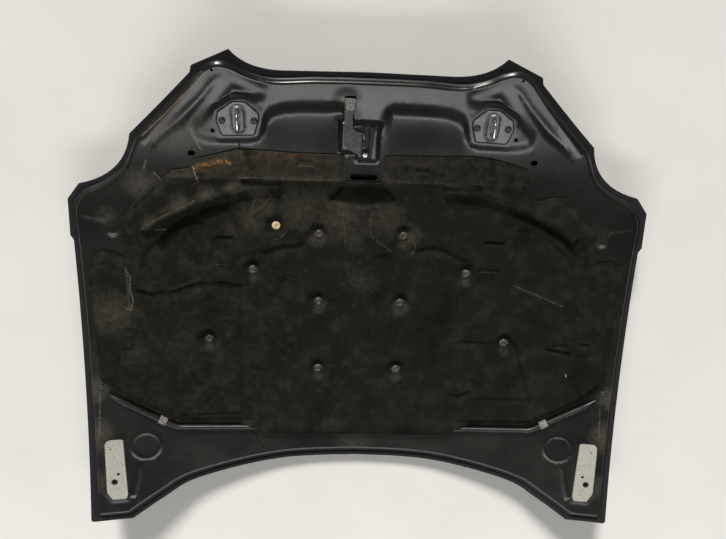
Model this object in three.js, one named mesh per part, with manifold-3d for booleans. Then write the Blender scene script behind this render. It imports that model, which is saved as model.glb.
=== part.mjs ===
// Car bonnet, inner side up: pressed outer skin hemmed over a pressed inner panel, with its
// insulation pad, push clips, two striker loops, sprung safety catch, rear seal and the
// reinforcements that carry the hinges.
// Millimetres. +X is to the right, +Y runs from the hinge end to the nose, +Z out of the inner side.

import * as THREE from "three";
import { mergeVertices } from "three/addons/utils/BufferGeometryUtils.js";
import Module from "manifold-3d";

const wasm = await Module();
wasm.setup();

// Plan outline, right half; forward sizes start at the rear corners
const noseLine = 1247;
const noseHalfWidth = 200;
const noseDroop = 3;
const noseCurveShare = 0.72;
const hornTipX = 319;
const hornTipAhead = 38;
const hornShoulderX = 408;
const hornShoulderAhead = 1;
const hornNeckX = 413;
const hornNeckBehind = 14;
const lampTopX = 574;
const lampTopBehind = 160;
const lampBottomX = 709;
const lampBottomBehind = 286;
const lampElbowAcross = 0.18;
const lampElbowDown = 0.82;
const wingX = 739;
const wingBehind = 325;
const sideJogX = 743;
const sideJogBehind = 419;
const sideJogDepth = 7;
const sideJogLength = 13;
const rearCornerX = 745;
const rearFootX = 633;
const rearArchRise = 171;
const rearArchShoulderX = 450;
const rearArchShoulderRise = 110;

// Crown of the outer skin, as rises above its lowest point
const lowPointY = 600;
const rearRise = 41;
const noseRise = 50;
const noseCurlLength = 330;
const noseCurlRise = 72;
const sideRise = 68;

// Sheet metal and hem
const skinThickness = 0.8;
const panelThickness = 0.7;
const seamGap = 0.3;
const hemWidth = 12;
const noseFlange = 28;
const sideFlange = 17;
const rearFlange = 15;

// Spacing of mesh points along edges and over surfaces
const outlineStep = 74;
const curveStep = 44;
const curlRowStep = 60;
const curlRowShares = [0.1, 0.5, 1];
const skinMeshStep = 110;
const panelMeshStep = 88;
const padMeshStep = 80;

// Inner panel pressing
const panelLift = 16;
const panelWall = 14;
const frontLift = 7;
const frontWall = 16;
const frontHornX = 326;
const frontFoldX = 430;
const frontFoldBehind = 144;
const frontEdgeX = 402;
const frontEdgeBehind = 180;
const frontDepth = 184;
const pocketInnerX = 60;
const pocketOuterX = 240;
const pocketFrontBehind = 82;
const pocketLength = 100;
const pocketDepth = 12;
const pocketWall = 14;
const beadHeight = 3;
const beadHalfWidth = 9;
const beadWall = 5;
const discX = 587;
const discY = 227;
const discRadius = 43;
const discRim = 11;
const discHeight = 4;
const embossX = 636;
const embossBehind = 403;
const embossRadius = 19;
const embossHeight = 3;
const oilCanWall = 5;

// Visible holes in the inner panel
const hornHoleX = 360;
const hornHoleBehind = 9;
const hornHoleRadius = 3.2;
const lanceHoleX = 373;
const lanceHoleBehind = 147;
const lanceHoleRadius = 5;
const ovalHoleX = 430;
const ovalHoleBehind = 204;
const ovalHoleLength = 18;
const ovalHoleWidth = 13;
const drainSlotBehind = 256;
const drainSlotLength = 70;
const drainSlotWidth = 16;

// Striker plates, loops and bolts
const strikerX = 310;
const strikerBehind = 117;
const strikerSeatRise = 2;
const strikerPlateThickness = 2;
const strikerHalfLength = 41;
const strikerTopInner = 19;
const strikerTopOuter = 11;
const strikerEarReach = 10;
const strikerSkew = 2;
const strikerSeatMargin = 8;
const seatWall = 12;
const strikerBossLength = 70;
const strikerBossWidth = 34;
const strikerBossHeight = 5;
const strikerBossWall = 4;
const strikerBoltSpan = 38;
const strikerBoltForward = -4;
const boltShankRadius = 4;
const boltHoleRadius = 4.6;
const boltFlangeRadius = 8.5;
const boltFlangeHeight = 1.6;
const boltHexAcross = 13;
const boltHeadHeight = 6.5;
const boltLength = 14;
const loopWireRadius = 4;
const loopSpan = 40;
const loopHeight = 31;
const loopBend = 9;
const nutAcross = 13;
const nutHeight = 5;
const reinforcementThickness = 1.5;
const reinforcementMargin = 4;

// Safety catch on its flat seat; places are from the pivot
const catchX = 0;
const catchBehind = 196;
const catchSeatRise = 5;
const catchSeatMargin = 3;
const catchMiddle = 60;
const catchBracketThickness = 2;
const catchBracketHalfWidth = 17;
const catchBracketFrontRight = 24;
const catchBracketFrontLeft = 5;
const catchBracketFront = 70;
const catchBracketRear = 14;
const catchTabHeight = 13;
const catchTabWidth = 12;
const catchLeverThickness = 2.5;
const catchLeverGap = 0.4;
const catchEyeRadius = 12;
const eyeFrom = -0.62;
const eyeTo = 0.48;
const eyeSteps = 8;
const catchPinRadius = 3.5;
const catchPinHeadRadius = 6.5;
const catchPinHeadHeight = 2;
const catchPlateLeft = 54;
const catchPlateRear = 9;
const catchPlateFront = 58;
const catchPlateFillet = 8;
const catchChamfer = 13;
const catchStrapWidth = 21;
const catchStrapFront = 103;
const catchFingerWidth = 27;
const catchFingerFront = 142;
const catchHookForward = 44;
const catchHookThickness = 4;
const catchHookWidth = 20;
const catchHookHeight = 42;
const catchHookReach = 16;
const catchHookLip = 9;
const catchHookSlope = 5;
const springWireRadius = 1;
const springCoilRadius = 8.5;
const springTurns = 2.5;
const springPitch = 2.3;
const springTurnSteps = 12;
const catchRivetRadius = 2.4;
const catchRivetHead = 5;
const catchRivetHeadHeight = 1.8;
const catchRivetX = 10;
const catchRivetForward = 56;
const pinClearance = 0.35;

// Insulation pad
const padPinch = 3;
const padLoft = 9;
const padGap = 2;
const padSeatGap = 0.4;
const padRimBand = 7;
const padRimWall = 13;
const padNotchX = 49;
const padTopBehind = 200;
const padNotchBehind = 270;
const padEarX = 702;
const padEarTopY = 792;
const padEarRearY = 428;
const padBandDrop = 5;
const padBandBehind = 268;
const padBandWall = 6;
const crestHeight = 8;
const crestHalfWidth = 17;
const crestWall = 12;
const lensDepth = 6;
const lensWall = 10;
const sideFieldDrop = 4;
const sideFieldWall = 16;
const clipDimpleRadius = 36;
const clipFlatRadius = 14;

// Front edges of the pad outside its notch: how far out, and how far behind the pad's front
const padFrontRight = [
  [205, -3], [270, -6], [325, -1], [372, 9], [419, 25], [427, 44], [424, 71], [454, 105], [494, 92],
  [525, 93], [567, 135], [611, 176], [614, 240],
];
const padFrontLeft = [
  [189, -2], [259, -6], [320, -8], [363, 4], [428, 20], [436, 43], [477, 47], [501, 65], [519, 80],
  [580, 136], [614, 172], [612, 240],
];

// Rounded top of the ear at each side of the pad: how far in from its outer edge, and how far back
const padEarTop = [[95, 26], [66, 8], [38, 0], [12, 14], [0, 50]];
const padEarRearIn = 8;
const padSealEndIn = 20;

// Forms moulded into the pad, right half: how far out, and how far behind the nose
const crestLine = [
  [205, 286], [250, 284], [305, 293], [368, 309], [427, 330], [468, 349], [526, 379], [566, 407],
];
const lensOutline = [[58, 274], [106, 323], [0, 335]];
const sideFieldOutline = [[330, 347], [420, 367], [560, 457], [575, 547], [400, 532], [330, 487]];

// Boxes and rounds moulded into the pad: places from the middle of the rear edge line
const leftBoxCorners = [[-492, 320], [-321, 320], [-318, 690], [-400, 706], [-488, 682]];
const leftBox = { corners: leftBoxCorners, rise: 4, wall: 6 };
const rightBox = { corners: [[316, 372], [496, 376], [470, 545], [330, 548]], rise: 3, wall: 6 };
const earPatch = { corners: [[604, 520], [641, 520], [641, 564], [604, 564]], rise: 2.5, wall: 4 };
const frontPatch = { corners: [[334, 750], [378, 750], [378, 828], [334, 828]], rise: 1.5, wall: 4 };
const padSlot = { x: 558, y: 541, length: 44, width: 16, rise: -2.5, wall: 3 };
const padRounds = [
  { x: -196, y: 689, radius: 27, rise: -2.5, wall: 6 },
  { x: 326, y: 403, radius: 28, rise: -3.5, wall: 7 },
  { x: -281, y: 470, radius: 20, rise: 3, wall: 8 },
  { x: 323, y: 597, radius: 16, rise: 3, wall: 6 },
];

// Push clips
const clipHeadRadius = 12;
const clipHeadHeight = 4;
const clipStemRadius = 3.4;
const clipHoleRadius = 4.3;
const clipBarbRadius = 4.6;
const clipBarbLength = 6;
const clipBarbPoint = 2;
const washerOuterRadius = 11;
const washerHoleRadius = 2.5;
const washerHeight = 1.6;
const washerChamfer = 1;

// Rear seal
const sealRadius = 6.5;
const sealSeatGap = 0.5;
const sealMiddleY = 268;
const sealKneeX = 500;
const sealKneeY = 281;
const sealEndX = 676;
const sealEndY = 385;
const sealPadGap = 5;
const lapHalfWidth = 262;
const lapFade = 36;
const lapBehind = 15;
const lapLift = 14;
const sealClipLength = 22;
const sealClipWall = 2;
const sealClipShare = 0.24;
const sealClipSides = 8;

// Hinge seats and reinforcements
const hingeX = 671;
const hingeY = 161;
const hingeLength = 176;
const hingeWidth = 46;
const hingeSlant = 14;
const hingeSeatRise = 3;
const hingeSeatMargin = 3;
const hingeBoltHoleRadius = 9;
const hingeBoltHoleOut = 3;
const hingeBoltHoleBack = 36;
const hingeSmallHoleRadius = 4;
const hingeSmallHoleIn = 8;
const hingeSmallHoleBack = 13;
const hingeLocatorRadius = 2;
const hingeLocatorOut = 9;
const hingeLocatorForward = 63;
const hingeNutAcross = 16;
const hingeNutHeight = 6;
const hingeReinforcementThickness = 2;

// Side plugs
const plugX = 696;
const plugY = 408;
const plugRadius = 7;
const plugHeight = 4;
const plugStemRadius = 2.6;
const plugStemLength = 7;
const plugHoleRadius = 3.6;

// Colours of the finished materials
const paint = { color: 0x1b1c1f, roughness: 0.42, metalness: 0.1 };
const felt = { color: 0x2b2a26, roughness: 0.95, metalness: 0 };
const plateFinish = { color: 0x6f7276, roughness: 0.45, metalness: 0.5 };
const steel = { color: 0x8d8f90, roughness: 0.35, metalness: 0.9 };
const blackSteel = { color: 0x141415, roughness: 0.5, metalness: 0.6 };
const blackPlastic = { color: 0x1c1c1b, roughness: 0.6, metalness: 0 };
const creamPlastic = { color: 0xcdb994, roughness: 0.6, metalness: 0 };
const rubber = { color: 0x131416, roughness: 0.3, metalness: 0 };

// Sides of round pieces and holes
const sealSides = 8;
const tinyCircle = 6;
const smallCircle = 8;
const middleCircle = 12;
const largeCircle = 16;
const slotSteps = 4;

const bonnet = new THREE.Group();
bonnet.name = "car_bonnet";

function fromNose(distance) {
  return noseLine - distance;
}

function clamp01(value) {
  return Math.min(1, Math.max(0, value));
}

function mix(from, to, share) {
  return from + (to - from) * share;
}

function mirrored(points) {
  return points.map(([x, y]) => [-x, y]);
}

// Both halves of an outline that is given from the front centre round the right side
function bothHalves(rightHalf) {
  const left = mirrored(rightHalf).reverse();
  const trimmed = left.filter(([x]) => Math.abs(x) > 1e-6);
  return rightHalf.concat(trimmed);
}

function circle(x, y, radius, sides) {
  const points = [];
  for (let i = 0; i < sides; i++) {
    const angle = (i / sides) * 2 * Math.PI;
    points.push([x + radius * Math.cos(angle), y + radius * Math.sin(angle)]);
  }
  return points;
}

// Rounded slot that lies along X
function slot(x, y, length, width, arcSteps) {
  const points = [];
  const reach = (length - width) / 2;
  for (const side of [1, -1]) {
    for (let i = 0; i <= arcSteps; i++) {
      const angle = (i / arcSteps - side / 2) * Math.PI;
      points.push([x + side * reach + (width / 2) * Math.cos(angle), y + (width / 2) * Math.sin(angle)]);
    }
  }
  return points;
}

// A line moved sideways, to its left as it runs
function sideLine(line, distance) {
  return line.map((point, i) => {
    const before = line[Math.max(0, i - 1)];
    const after = line[Math.min(line.length - 1, i + 1)];
    const length = Math.hypot(after[0] - before[0], after[1] - before[1]);
    const nx = -(after[1] - before[1]) / length;
    const ny = (after[0] - before[0]) / length;
    return [point[0] + nx * distance, point[1] + ny * distance];
  });
}

// Even strip of material along a line of points
function strip(line, halfWidth) {
  return sideLine(line, -halfWidth).concat(sideLine(line, halfWidth).reverse());
}

function signedArea(loop) {
  let sum = 0;
  loop.forEach(([x, y], i) => {
    const [nextX, nextY] = loop[(i + 1) % loop.length];
    sum += x * nextY - nextX * y;
  });
  return sum / 2;
}

function counterClockwise(loop) {
  return signedArea(loop) > 0 ? loop : loop.slice().reverse();
}

function segmentDistance(x, y, [ax, ay], [bx, by]) {
  const dx = bx - ax;
  const dy = by - ay;
  const share = clamp01(((x - ax) * dx + (y - ay) * dy) / (dx * dx + dy * dy || 1));
  return Math.hypot(x - ax - share * dx, y - ay - share * dy);
}

function lineDistance(line, x, y) {
  let best = Infinity;
  for (let i = 0; i + 1 < line.length; i++) {
    best = Math.min(best, segmentDistance(x, y, line[i], line[i + 1]));
  }
  return best;
}

// Distance to a loop, positive inside it
function depthInside(loop, x, y) {
  let best = Infinity;
  let inside = false;
  for (let i = 0, j = loop.length - 1; i < loop.length; j = i, i += 1) {
    best = Math.min(best, segmentDistance(x, y, loop[j], loop[i]));
    const [ax, ay] = loop[i];
    const [bx, by] = loop[j];
    if (ay > y !== by > y && x < ((bx - ax) * (y - ay)) / (by - ay) + ax) {
      inside = !inside;
    }
  }
  return inside ? best : -best;
}

// A loop moved inwards by a distance, which may differ from corner to corner
function mitred(loop, distanceAt) {
  return loop.map((point, i) => {
    const before = loop[(i + loop.length - 1) % loop.length];
    const after = loop[(i + 1) % loop.length];
    const inX = point[0] - before[0];
    const inY = point[1] - before[1];
    const outX = after[0] - point[0];
    const outY = after[1] - point[1];
    const inLength = Math.hypot(inX, inY);
    const outLength = Math.hypot(outX, outY);
    const nx = -inY / inLength - outY / outLength;
    const ny = inX / inLength + outX / outLength;
    const scale = 2 / Math.max(0.8, nx * nx + ny * ny);
    const distance = distanceAt(point[0], point[1]);
    return [point[0] + nx * scale * distance, point[1] + ny * scale * distance];
  });
}

// The same for a crease, without the corners that fold over
function innerCrease(loop, distance) {
  const moved = mitred(counterClockwise(loop), () => distance);
  return moved.filter(([x, y]) => depthInside(loop, x, y) > 0.93 * distance);
}

// Crown of the outer skin
function skinHeight(x, y) {
  const rearShare = rearRise / lowPointY ** 2;
  const frontShare = noseRise / (noseLine - lowPointY) ** 2;
  const along = y - lowPointY;
  const curl = Math.max(0, (y - fromNose(noseCurlLength)) / noseCurlLength);
  const across = x / rearCornerX;
  const crown = (along < 0 ? rearShare : frontShare) * along * along;
  return crown + noseCurlRise * curl * curl + sideRise * across * across;
}

function skinNormal(x, y) {
  const step = 0.5;
  const slopeX = (skinHeight(x + step, y) - skinHeight(x - step, y)) / (2 * step);
  const slopeY = (skinHeight(x, y + step) - skinHeight(x, y - step)) / (2 * step);
  return new THREE.Vector3(-slopeX, -slopeY, 1).normalize();
}

// Point at a height above the skin's inner face, measured square to it
function aboveSkin([x, y], height) {
  return new THREE.Vector3(x, y, skinHeight(x, y)).addScaledVector(skinNormal(x, y), height);
}

// Edge of the bonnet, from the nose round the right side and back
function bonnetOutline() {
  const path = new THREE.Path();
  const noseEdgeY = noseLine - noseDroop;
  const hornTipY = noseLine + hornTipAhead;
  path.moveTo(0, noseLine);
  path.lineTo(noseHalfWidth, noseEdgeY);
  path.quadraticCurveTo(mix(noseHalfWidth, hornTipX, noseCurveShare), noseEdgeY, hornTipX, hornTipY);
  path.lineTo(hornShoulderX, noseLine + hornShoulderAhead);
  path.lineTo(hornNeckX, fromNose(hornNeckBehind));
  path.lineTo(lampTopX, fromNose(lampTopBehind));
  const lampElbowX = mix(lampTopX, lampBottomX, lampElbowAcross);
  const lampElbowY = fromNose(mix(lampTopBehind, lampBottomBehind, lampElbowDown));
  path.quadraticCurveTo(lampElbowX, lampElbowY, lampBottomX, fromNose(lampBottomBehind));
  path.lineTo(wingX, fromNose(wingBehind));
  path.lineTo(sideJogX, fromNose(sideJogBehind));
  path.lineTo(sideJogX - sideJogDepth, fromNose(sideJogBehind + sideJogLength));
  path.lineTo(rearCornerX, 0);
  path.lineTo(rearFootX, 0);
  path.splineThru([
    new THREE.Vector2(mix(rearFootX, rearArchShoulderX, 0.5), rearArchShoulderRise * 0.55),
    new THREE.Vector2(rearArchShoulderX, rearArchShoulderRise),
    new THREE.Vector2(rearArchShoulderX / 2, mix(rearArchShoulderRise, rearArchRise, 0.82)),
    new THREE.Vector2(0, rearArchRise),
  ]);
  const half = [[0, noseLine]];
  for (const curve of path.curves) {
    const step = curve.isLineCurve ? outlineStep : curveStep;
    const pieces = Math.max(1, Math.ceil(curve.getLength() / step));
    for (let i = 1; i <= pieces; i++) {
      const point = curve.getPoint(i / pieces);
      half.push([point.x, point.y]);
    }
  }
  return counterClockwise(bothHalves(half));
}

const outline = bonnetOutline();

// Flat flange round the edge: wide at the nose, narrow at the sides and the rear
function flangeWidth(x, y) {
  if (y > lowPointY) {
    const towardsHorn = clamp01((Math.abs(x) - noseHalfWidth) / (hornTipX - noseHalfWidth));
    return mix(noseFlange, sideFlange, towardsHorn);
  }
  const towardsRear = clamp01((rearArchRise - y) / rearArchRise);
  return mix(sideFlange, rearFlange, towardsRear);
}

const hemLine = mitred(outline, () => hemWidth);
const flangeLine = mitred(outline, flangeWidth);
const foldLine = mitred(outline, () => skinThickness);
const panelEdge = mitred(outline, () => skinThickness + seamGap);

// Vertices and faces of one closed mesh
class MeshBuilder {
  constructor() {
    this.positions = [];
    this.faces = [];
  }

  addPoint(point) {
    this.positions.push(point.x, point.y, point.z);
    return this.positions.length / 3 - 1;
  }

  addRing(points) {
    return points.map((point) => this.addPoint(point));
  }

  // Sum of the heights of two vertices
  level(a, b) {
    return this.positions[3 * a + 2] + this.positions[3 * b + 2];
  }

  // Band between two rings; each quad folds along its higher diagonal, so parallel bands match
  band(first, second) {
    first.forEach((start, i) => {
      const next = (i + 1) % first.length;
      if (this.level(start, second[next]) >= this.level(second[i], first[next])) {
        this.faces.push(start, second[i], second[next]);
        this.faces.push(start, second[next], first[next]);
      } else {
        this.faces.push(start, second[i], first[next]);
        this.faces.push(second[i], second[next], first[next]);
      }
    });
  }

  // Flat cap over a ring that is convex
  capRing(ring, downwards) {
    for (let i = 1; i + 1 < ring.length; i++) {
      const [second, third] = downwards ? [ring[i + 1], ring[i]] : [ring[i], ring[i + 1]];
      this.faces.push(ring[0], second, third);
    }
  }

  geometry() {
    const geometry = new THREE.BufferGeometry();
    geometry.setAttribute("position", new THREE.Float32BufferAttribute(this.positions, 3));
    geometry.setIndex(this.faces);
    return geometry;
  }
}

// Delaunay triangulation of points in plan, with edges that it has to keep
class Triangulation {
  constructor(extent) {
    this.points = [[-8 * extent, -8 * extent], [8 * extent, -8 * extent], [0, 12 * extent]];
    this.edges = new Map();
    this.kept = new Set();
    this.addTriangle(0, 1, 2);
  }

  key(a, b) {
    return a * 65536 + b;
  }

  addTriangle(a, b, c) {
    this.edges.set(this.key(a, b), c);
    this.edges.set(this.key(b, c), a);
    this.edges.set(this.key(c, a), b);
  }

  removeTriangle(a, b, c) {
    this.edges.delete(this.key(a, b));
    this.edges.delete(this.key(b, c));
    this.edges.delete(this.key(c, a));
  }

  turn(a, b, c) {
    const [ax, ay] = this.points[a];
    const [bx, by] = this.points[b];
    const [cx, cy] = this.points[c];
    return (bx - ax) * (cy - ay) - (by - ay) * (cx - ax);
  }

  inCircle(a, b, c, d) {
    const [dx, dy] = this.points[d];
    const rows = [a, b, c].map((i) => {
      const x = this.points[i][0] - dx;
      const y = this.points[i][1] - dy;
      return [x, y, x * x + y * y];
    });
    const [p, q, r] = rows;
    const first = p[0] * (q[1] * r[2] - q[2] * r[1]);
    const second = p[1] * (q[0] * r[2] - q[2] * r[0]);
    const third = p[2] * (q[0] * r[1] - q[1] * r[0]);
    return first - second + third > 0;
  }

  // Triangle that holds a point, found by walking from the last one
  locate(index) {
    let [a, b, c] = this.lastTriangle();
    for (let steps = 0; steps < 20000; steps++) {
      const outside = [[a, b], [b, c], [c, a]].find(([u, v]) => this.turn(u, v, index) < 0);
      if (!outside) {
        return [a, b, c];
      }
      const [u, v] = outside;
      [a, b, c] = [v, u, this.edges.get(this.key(v, u))];
    }
    throw new Error("a point lies outside the triangulation");
  }

  lastTriangle() {
    if (this.recent && this.edges.get(this.key(this.recent[0], this.recent[1])) === this.recent[2]) {
      return this.recent;
    }
    const [code, c] = this.edges.entries().next().value;
    return [Math.floor(code / 65536), code % 65536, c];
  }

  insert(point) {
    this.points.push(point);
    const index = this.points.length - 1;
    const [a, b, c] = this.locate(index);
    this.removeTriangle(a, b, c);
    const rim = [[a, b], [b, c], [c, a]];
    for (const [u, v] of rim) {
      this.addTriangle(u, v, index);
    }
    while (rim.length > 0) {
      const [u, v] = rim.pop();
      const across = this.edges.get(this.key(v, u));
      if (across !== undefined && !this.isKept(u, v) && this.inCircle(u, v, index, across)) {
        this.flip(u, v);
        rim.push([u, across], [across, v]);
      }
    }
    this.recent = [index, ...this.firstFan(index)];
    return index;
  }

  firstFan(index) {
    for (const other of [0, 1, 2]) {
      const third = this.edges.get(this.key(index, other));
      if (third !== undefined) {
        return [other, third];
      }
    }
    for (let other = this.points.length - 1; other >= 0; other--) {
      const third = this.edges.get(this.key(index, other));
      if (third !== undefined) {
        return [other, third];
      }
    }
    throw new Error("a point has no triangle");
  }

  flip(u, v) {
    const left = this.edges.get(this.key(u, v));
    const right = this.edges.get(this.key(v, u));
    this.removeTriangle(u, v, left);
    this.removeTriangle(v, u, right);
    this.addTriangle(left, u, right);
    this.addTriangle(right, v, left);
  }

  isKept(u, v) {
    return this.kept.has(this.key(Math.min(u, v), Math.max(u, v)));
  }

  crosses(a, b, u, v) {
    if (a === u || a === v || b === u || b === v) {
      return false;
    }
    return this.turn(a, b, u) * this.turn(a, b, v) < 0 && this.turn(u, v, a) * this.turn(u, v, b) < 0;
  }

  // Turns edges over until one runs from a to b
  keepEdge(a, b) {
    if (a === b) {
      return;
    }
    const crossing = [];
    if (!this.edges.has(this.key(a, b)) && !this.edges.has(this.key(b, a))) {
      for (const code of this.edges.keys()) {
        const u = Math.floor(code / 65536);
        const v = code % 65536;
        if (u < v && this.crosses(a, b, u, v)) {
          if (this.isKept(u, v)) {
            return;
          }
          crossing.push([u, v]);
        }
      }
    }
    for (let tries = 0; crossing.length > 0 && tries < 5000; tries++) {
      const [u, v] = crossing.shift();
      const left = this.edges.get(this.key(u, v));
      const right = this.edges.get(this.key(v, u));
      if (!this.crosses(left, right, u, v)) {
        crossing.push([u, v]);
        continue;
      }
      this.flip(u, v);
      if (this.crosses(a, b, left, right)) {
        crossing.push([left, right]);
      }
    }
    if (this.edges.has(this.key(a, b)) || this.edges.has(this.key(b, a))) {
      this.kept.add(this.key(Math.min(a, b), Math.max(a, b)));
    }
  }

  triangles() {
    const list = [];
    for (const [code, c] of this.edges) {
      const a = Math.floor(code / 65536);
      const b = code % 65536;
      if (a < b && a < c && a > 2) {
        list.push([a, b, c]);
      }
    }
    return list;
  }
}

// Creases with a point added wherever one crosses another
function splitAtCrossings(creases) {
  return creases.map((crease, own) => {
    const split = [crease[0]];
    for (let i = 0; i + 1 < crease.length; i++) {
      const [ax, ay] = crease[i];
      const dx = crease[i + 1][0] - ax;
      const dy = crease[i + 1][1] - ay;
      const shares = [];
      creases.forEach((other, index) => {
        for (let k = 0; index !== own && k + 1 < other.length; k++) {
          const [px, py] = other[k];
          const ex = other[k + 1][0] - px;
          const ey = other[k + 1][1] - py;
          const across = dx * ey - dy * ex;
          const share = ((px - ax) * ey - (py - ay) * ex) / across;
          const otherShare = ((px - ax) * dy - (py - ay) * dx) / across;
          if (Math.abs(across) > 1e-6 && share > 0 && share < 1 && otherShare > 0 && otherShare < 1) {
            shares.push(share);
          }
        }
      });
      for (const share of shares.sort((a, b) => a - b)) {
        split.push([ax + dx * share, ay + dy * share]);
      }
      split.push(crease[i + 1]);
    }
    return split;
  });
}

const snapDistance = 2.6;
const edgeMargin = 3.2;

// Plan mesh inside an outer loop: its own holes, creases where the form bends, and an even fill
function planMesh(outerLoop, holes, creases, spacing) {
  const net = new Triangulation(noseLine + rearCornerX);
  const outerIndices = outerLoop.map((point) => net.insert(point));
  const holeIndices = holes.map((hole) => hole.map((point) => net.insert(point)));
  const loops = [outerIndices, ...holeIndices];
  for (const loop of loops) {
    loop.forEach((start, i) => net.keepEdge(start, loop[(i + 1) % loop.length]));
  }
  const edges = loops.flatMap((loop) => loop.map((start, i) => [start, loop[(i + 1) % loop.length]]));
  const lines = edges.map(([a, b]) => [net.points[a], net.points[b]]);
  const clearOfEdges = (x, y, margin) =>
    depthInside(outerLoop, x, y) > margin && holes.every((hole) => depthInside(hole, x, y) < -margin);
  const creaseStart = net.points.length;
  for (const crease of splitAtCrossings(creases)) {
    let previous = null;
    for (const [x, y] of crease) {
      if (!clearOfEdges(x, y, edgeMargin)) {
        previous = null;
        continue;
      }
      let index = -1;
      for (let i = creaseStart; i < net.points.length; i++) {
        if (Math.hypot(net.points[i][0] - x, net.points[i][1] - y) < snapDistance) {
          index = i;
          break;
        }
      }
      if (index < 0) {
        index = net.insert([x, y]);
      }
      if (previous !== null && previous !== index) {
        net.keepEdge(previous, index);
        lines.push([net.points[previous], net.points[index]]);
      }
      previous = index;
    }
  }
  const xs = outerLoop.map(([x]) => x);
  const ys = outerLoop.map(([, y]) => y);
  const rowHeight = spacing * 0.866;
  const rows = Math.ceil((Math.max(...ys) - Math.min(...ys)) / rowHeight);
  const columns = Math.ceil(Math.max(...xs) / spacing) + 1;
  for (let row = 0; row <= rows; row++) {
    const y = Math.min(...ys) + (row + 0.37) * rowHeight;
    for (let column = -columns; column <= columns; column++) {
      const x = (column + (row % 2) * 0.5) * spacing + 0.21;
      if (!clearOfEdges(x, y, spacing * 0.3)) {
        continue;
      }
      if (lines.every(([start, end]) => segmentDistance(x, y, start, end) > spacing * 0.36)) {
        net.insert([x, y]);
      }
    }
  }
  const inside = net.triangles().filter((corners) => {
    const x = corners.reduce((sum, i) => sum + net.points[i][0], 0) / 3;
    const y = corners.reduce((sum, i) => sum + net.points[i][1], 0) / 3;
    return depthInside(outerLoop, x, y) > 0 && holes.every((hole) => depthInside(hole, x, y) < 0);
  });
  return { points: net.points, triangles: inside, outer: outerIndices, holes: holeIndices };
}

function closedCrease(loop) {
  return loop.concat([loop[0]]);
}

// Vertex normals of a draped plan mesh
function drapedNormals(plan, heights) {
  const normals = plan.points.map(() => new THREE.Vector3());
  for (const corners of plan.triangles) {
    const [a, b, c] = corners.map((i) => new THREE.Vector3(...plan.points[i], heights[i]));
    const normal = b.clone().sub(a).cross(c.clone().sub(a));
    corners.forEach((i) => normals[i].add(normal));
  }
  return normals.map((normal) => normal.normalize());
}

// Adds both faces of a draped sheet and the walls of its holes; gives the two outer rings back
function addSheet(builder, plan, upperPoint, lowerPoint) {
  const upper = new Map();
  const lower = new Map();
  for (const i of new Set(plan.triangles.flat())) {
    upper.set(i, builder.addPoint(upperPoint(i)));
    lower.set(i, builder.addPoint(lowerPoint(i)));
  }
  for (const [a, b, c] of plan.triangles) {
    builder.faces.push(upper.get(a), upper.get(b), upper.get(c));
    builder.faces.push(lower.get(a), lower.get(c), lower.get(b));
  }
  for (const hole of plan.holes) {
    const ordered = hole.slice().reverse();
    builder.band(ordered.map((i) => upper.get(i)), ordered.map((i) => lower.get(i)));
  }
  return [plan.outer.map((i) => upper.get(i)), plan.outer.map((i) => lower.get(i))];
}

function named(name, geometry, finish) {
  const mesh = new THREE.Mesh(geometry, new THREE.MeshStandardMaterial(finish));
  mesh.name = name;
  return mesh;
}

// Raised, sunk and flattened areas of the inner panel
const panelForms = [];

function addForm(loop, amount, wall) {
  panelForms.push({ loop: counterClockwise(loop), amount, wall });
}

function addFormPair(loop, amount, wall) {
  addForm(loop, amount, wall);
  addForm(mirrored(loop), amount, wall);
}

const frontArea = bothHalves([
  [0, noseLine + hornTipAhead],
  [frontHornX, noseLine + hornTipAhead],
  [frontHornX, fromNose(hornNeckBehind)],
  [frontFoldX, fromNose(frontFoldBehind)],
  [frontEdgeX, fromNose(frontEdgeBehind)],
  [frontEdgeX - frontWall, fromNose(frontDepth)],
  [0, fromNose(frontDepth)],
]);
addForm(frontArea, frontLift, frontWall);
const pocketRearBehind = pocketFrontBehind + pocketLength;
addFormPair([
  [pocketInnerX, fromNose(pocketFrontBehind)],
  [pocketOuterX, fromNose(pocketFrontBehind)],
  [pocketOuterX, fromNose(pocketRearBehind)],
  [pocketInnerX, fromNose(pocketRearBehind)],
], -pocketDepth, pocketWall);
const beadOffset = noseFlange + panelWall + beadHalfWidth;
const diagonalEdge = [[hornNeckX, fromNose(hornNeckBehind)], [lampTopX, fromNose(lampTopBehind)]];
addFormPair(strip(sideLine(diagonalEdge, -beadOffset), beadHalfWidth), beadHeight, beadWall);
addFormPair(circle(discX, discY, discRadius, largeCircle), discHeight, oilCanWall);
addFormPair(circle(discX, discY, discRadius - discRim, largeCircle), -discHeight, oilCanWall);
addFormPair(circle(embossX, fromNose(embossBehind), embossRadius, largeCircle), embossHeight, oilCanWall);
const hingeFoldX = hingeX - hingeWidth / 2 - hingeSlant - beadHalfWidth - seatWall;
const hingeFold = [
  [hingeFoldX, hingeY + hingeLength / 2],
  [hingeFoldX + hingeSlant, hingeY],
  [hingeFoldX + 2 * hingeSlant, hingeY - hingeLength / 2],
];
addFormPair(strip(hingeFold.map(([x, y]) => [x - hingeSlant, y]), beadHalfWidth), beadHeight, beadWall);
const wingFold = [
  [wingX - sideFlange - panelWall, fromNose(wingBehind + 2 * sideFlange)],
  [embossX + embossRadius / 2, fromNose(embossBehind - 1.5 * embossRadius)],
];
addFormPair(strip(wingFold, beadHalfWidth), beadHeight, beadWall);

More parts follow.
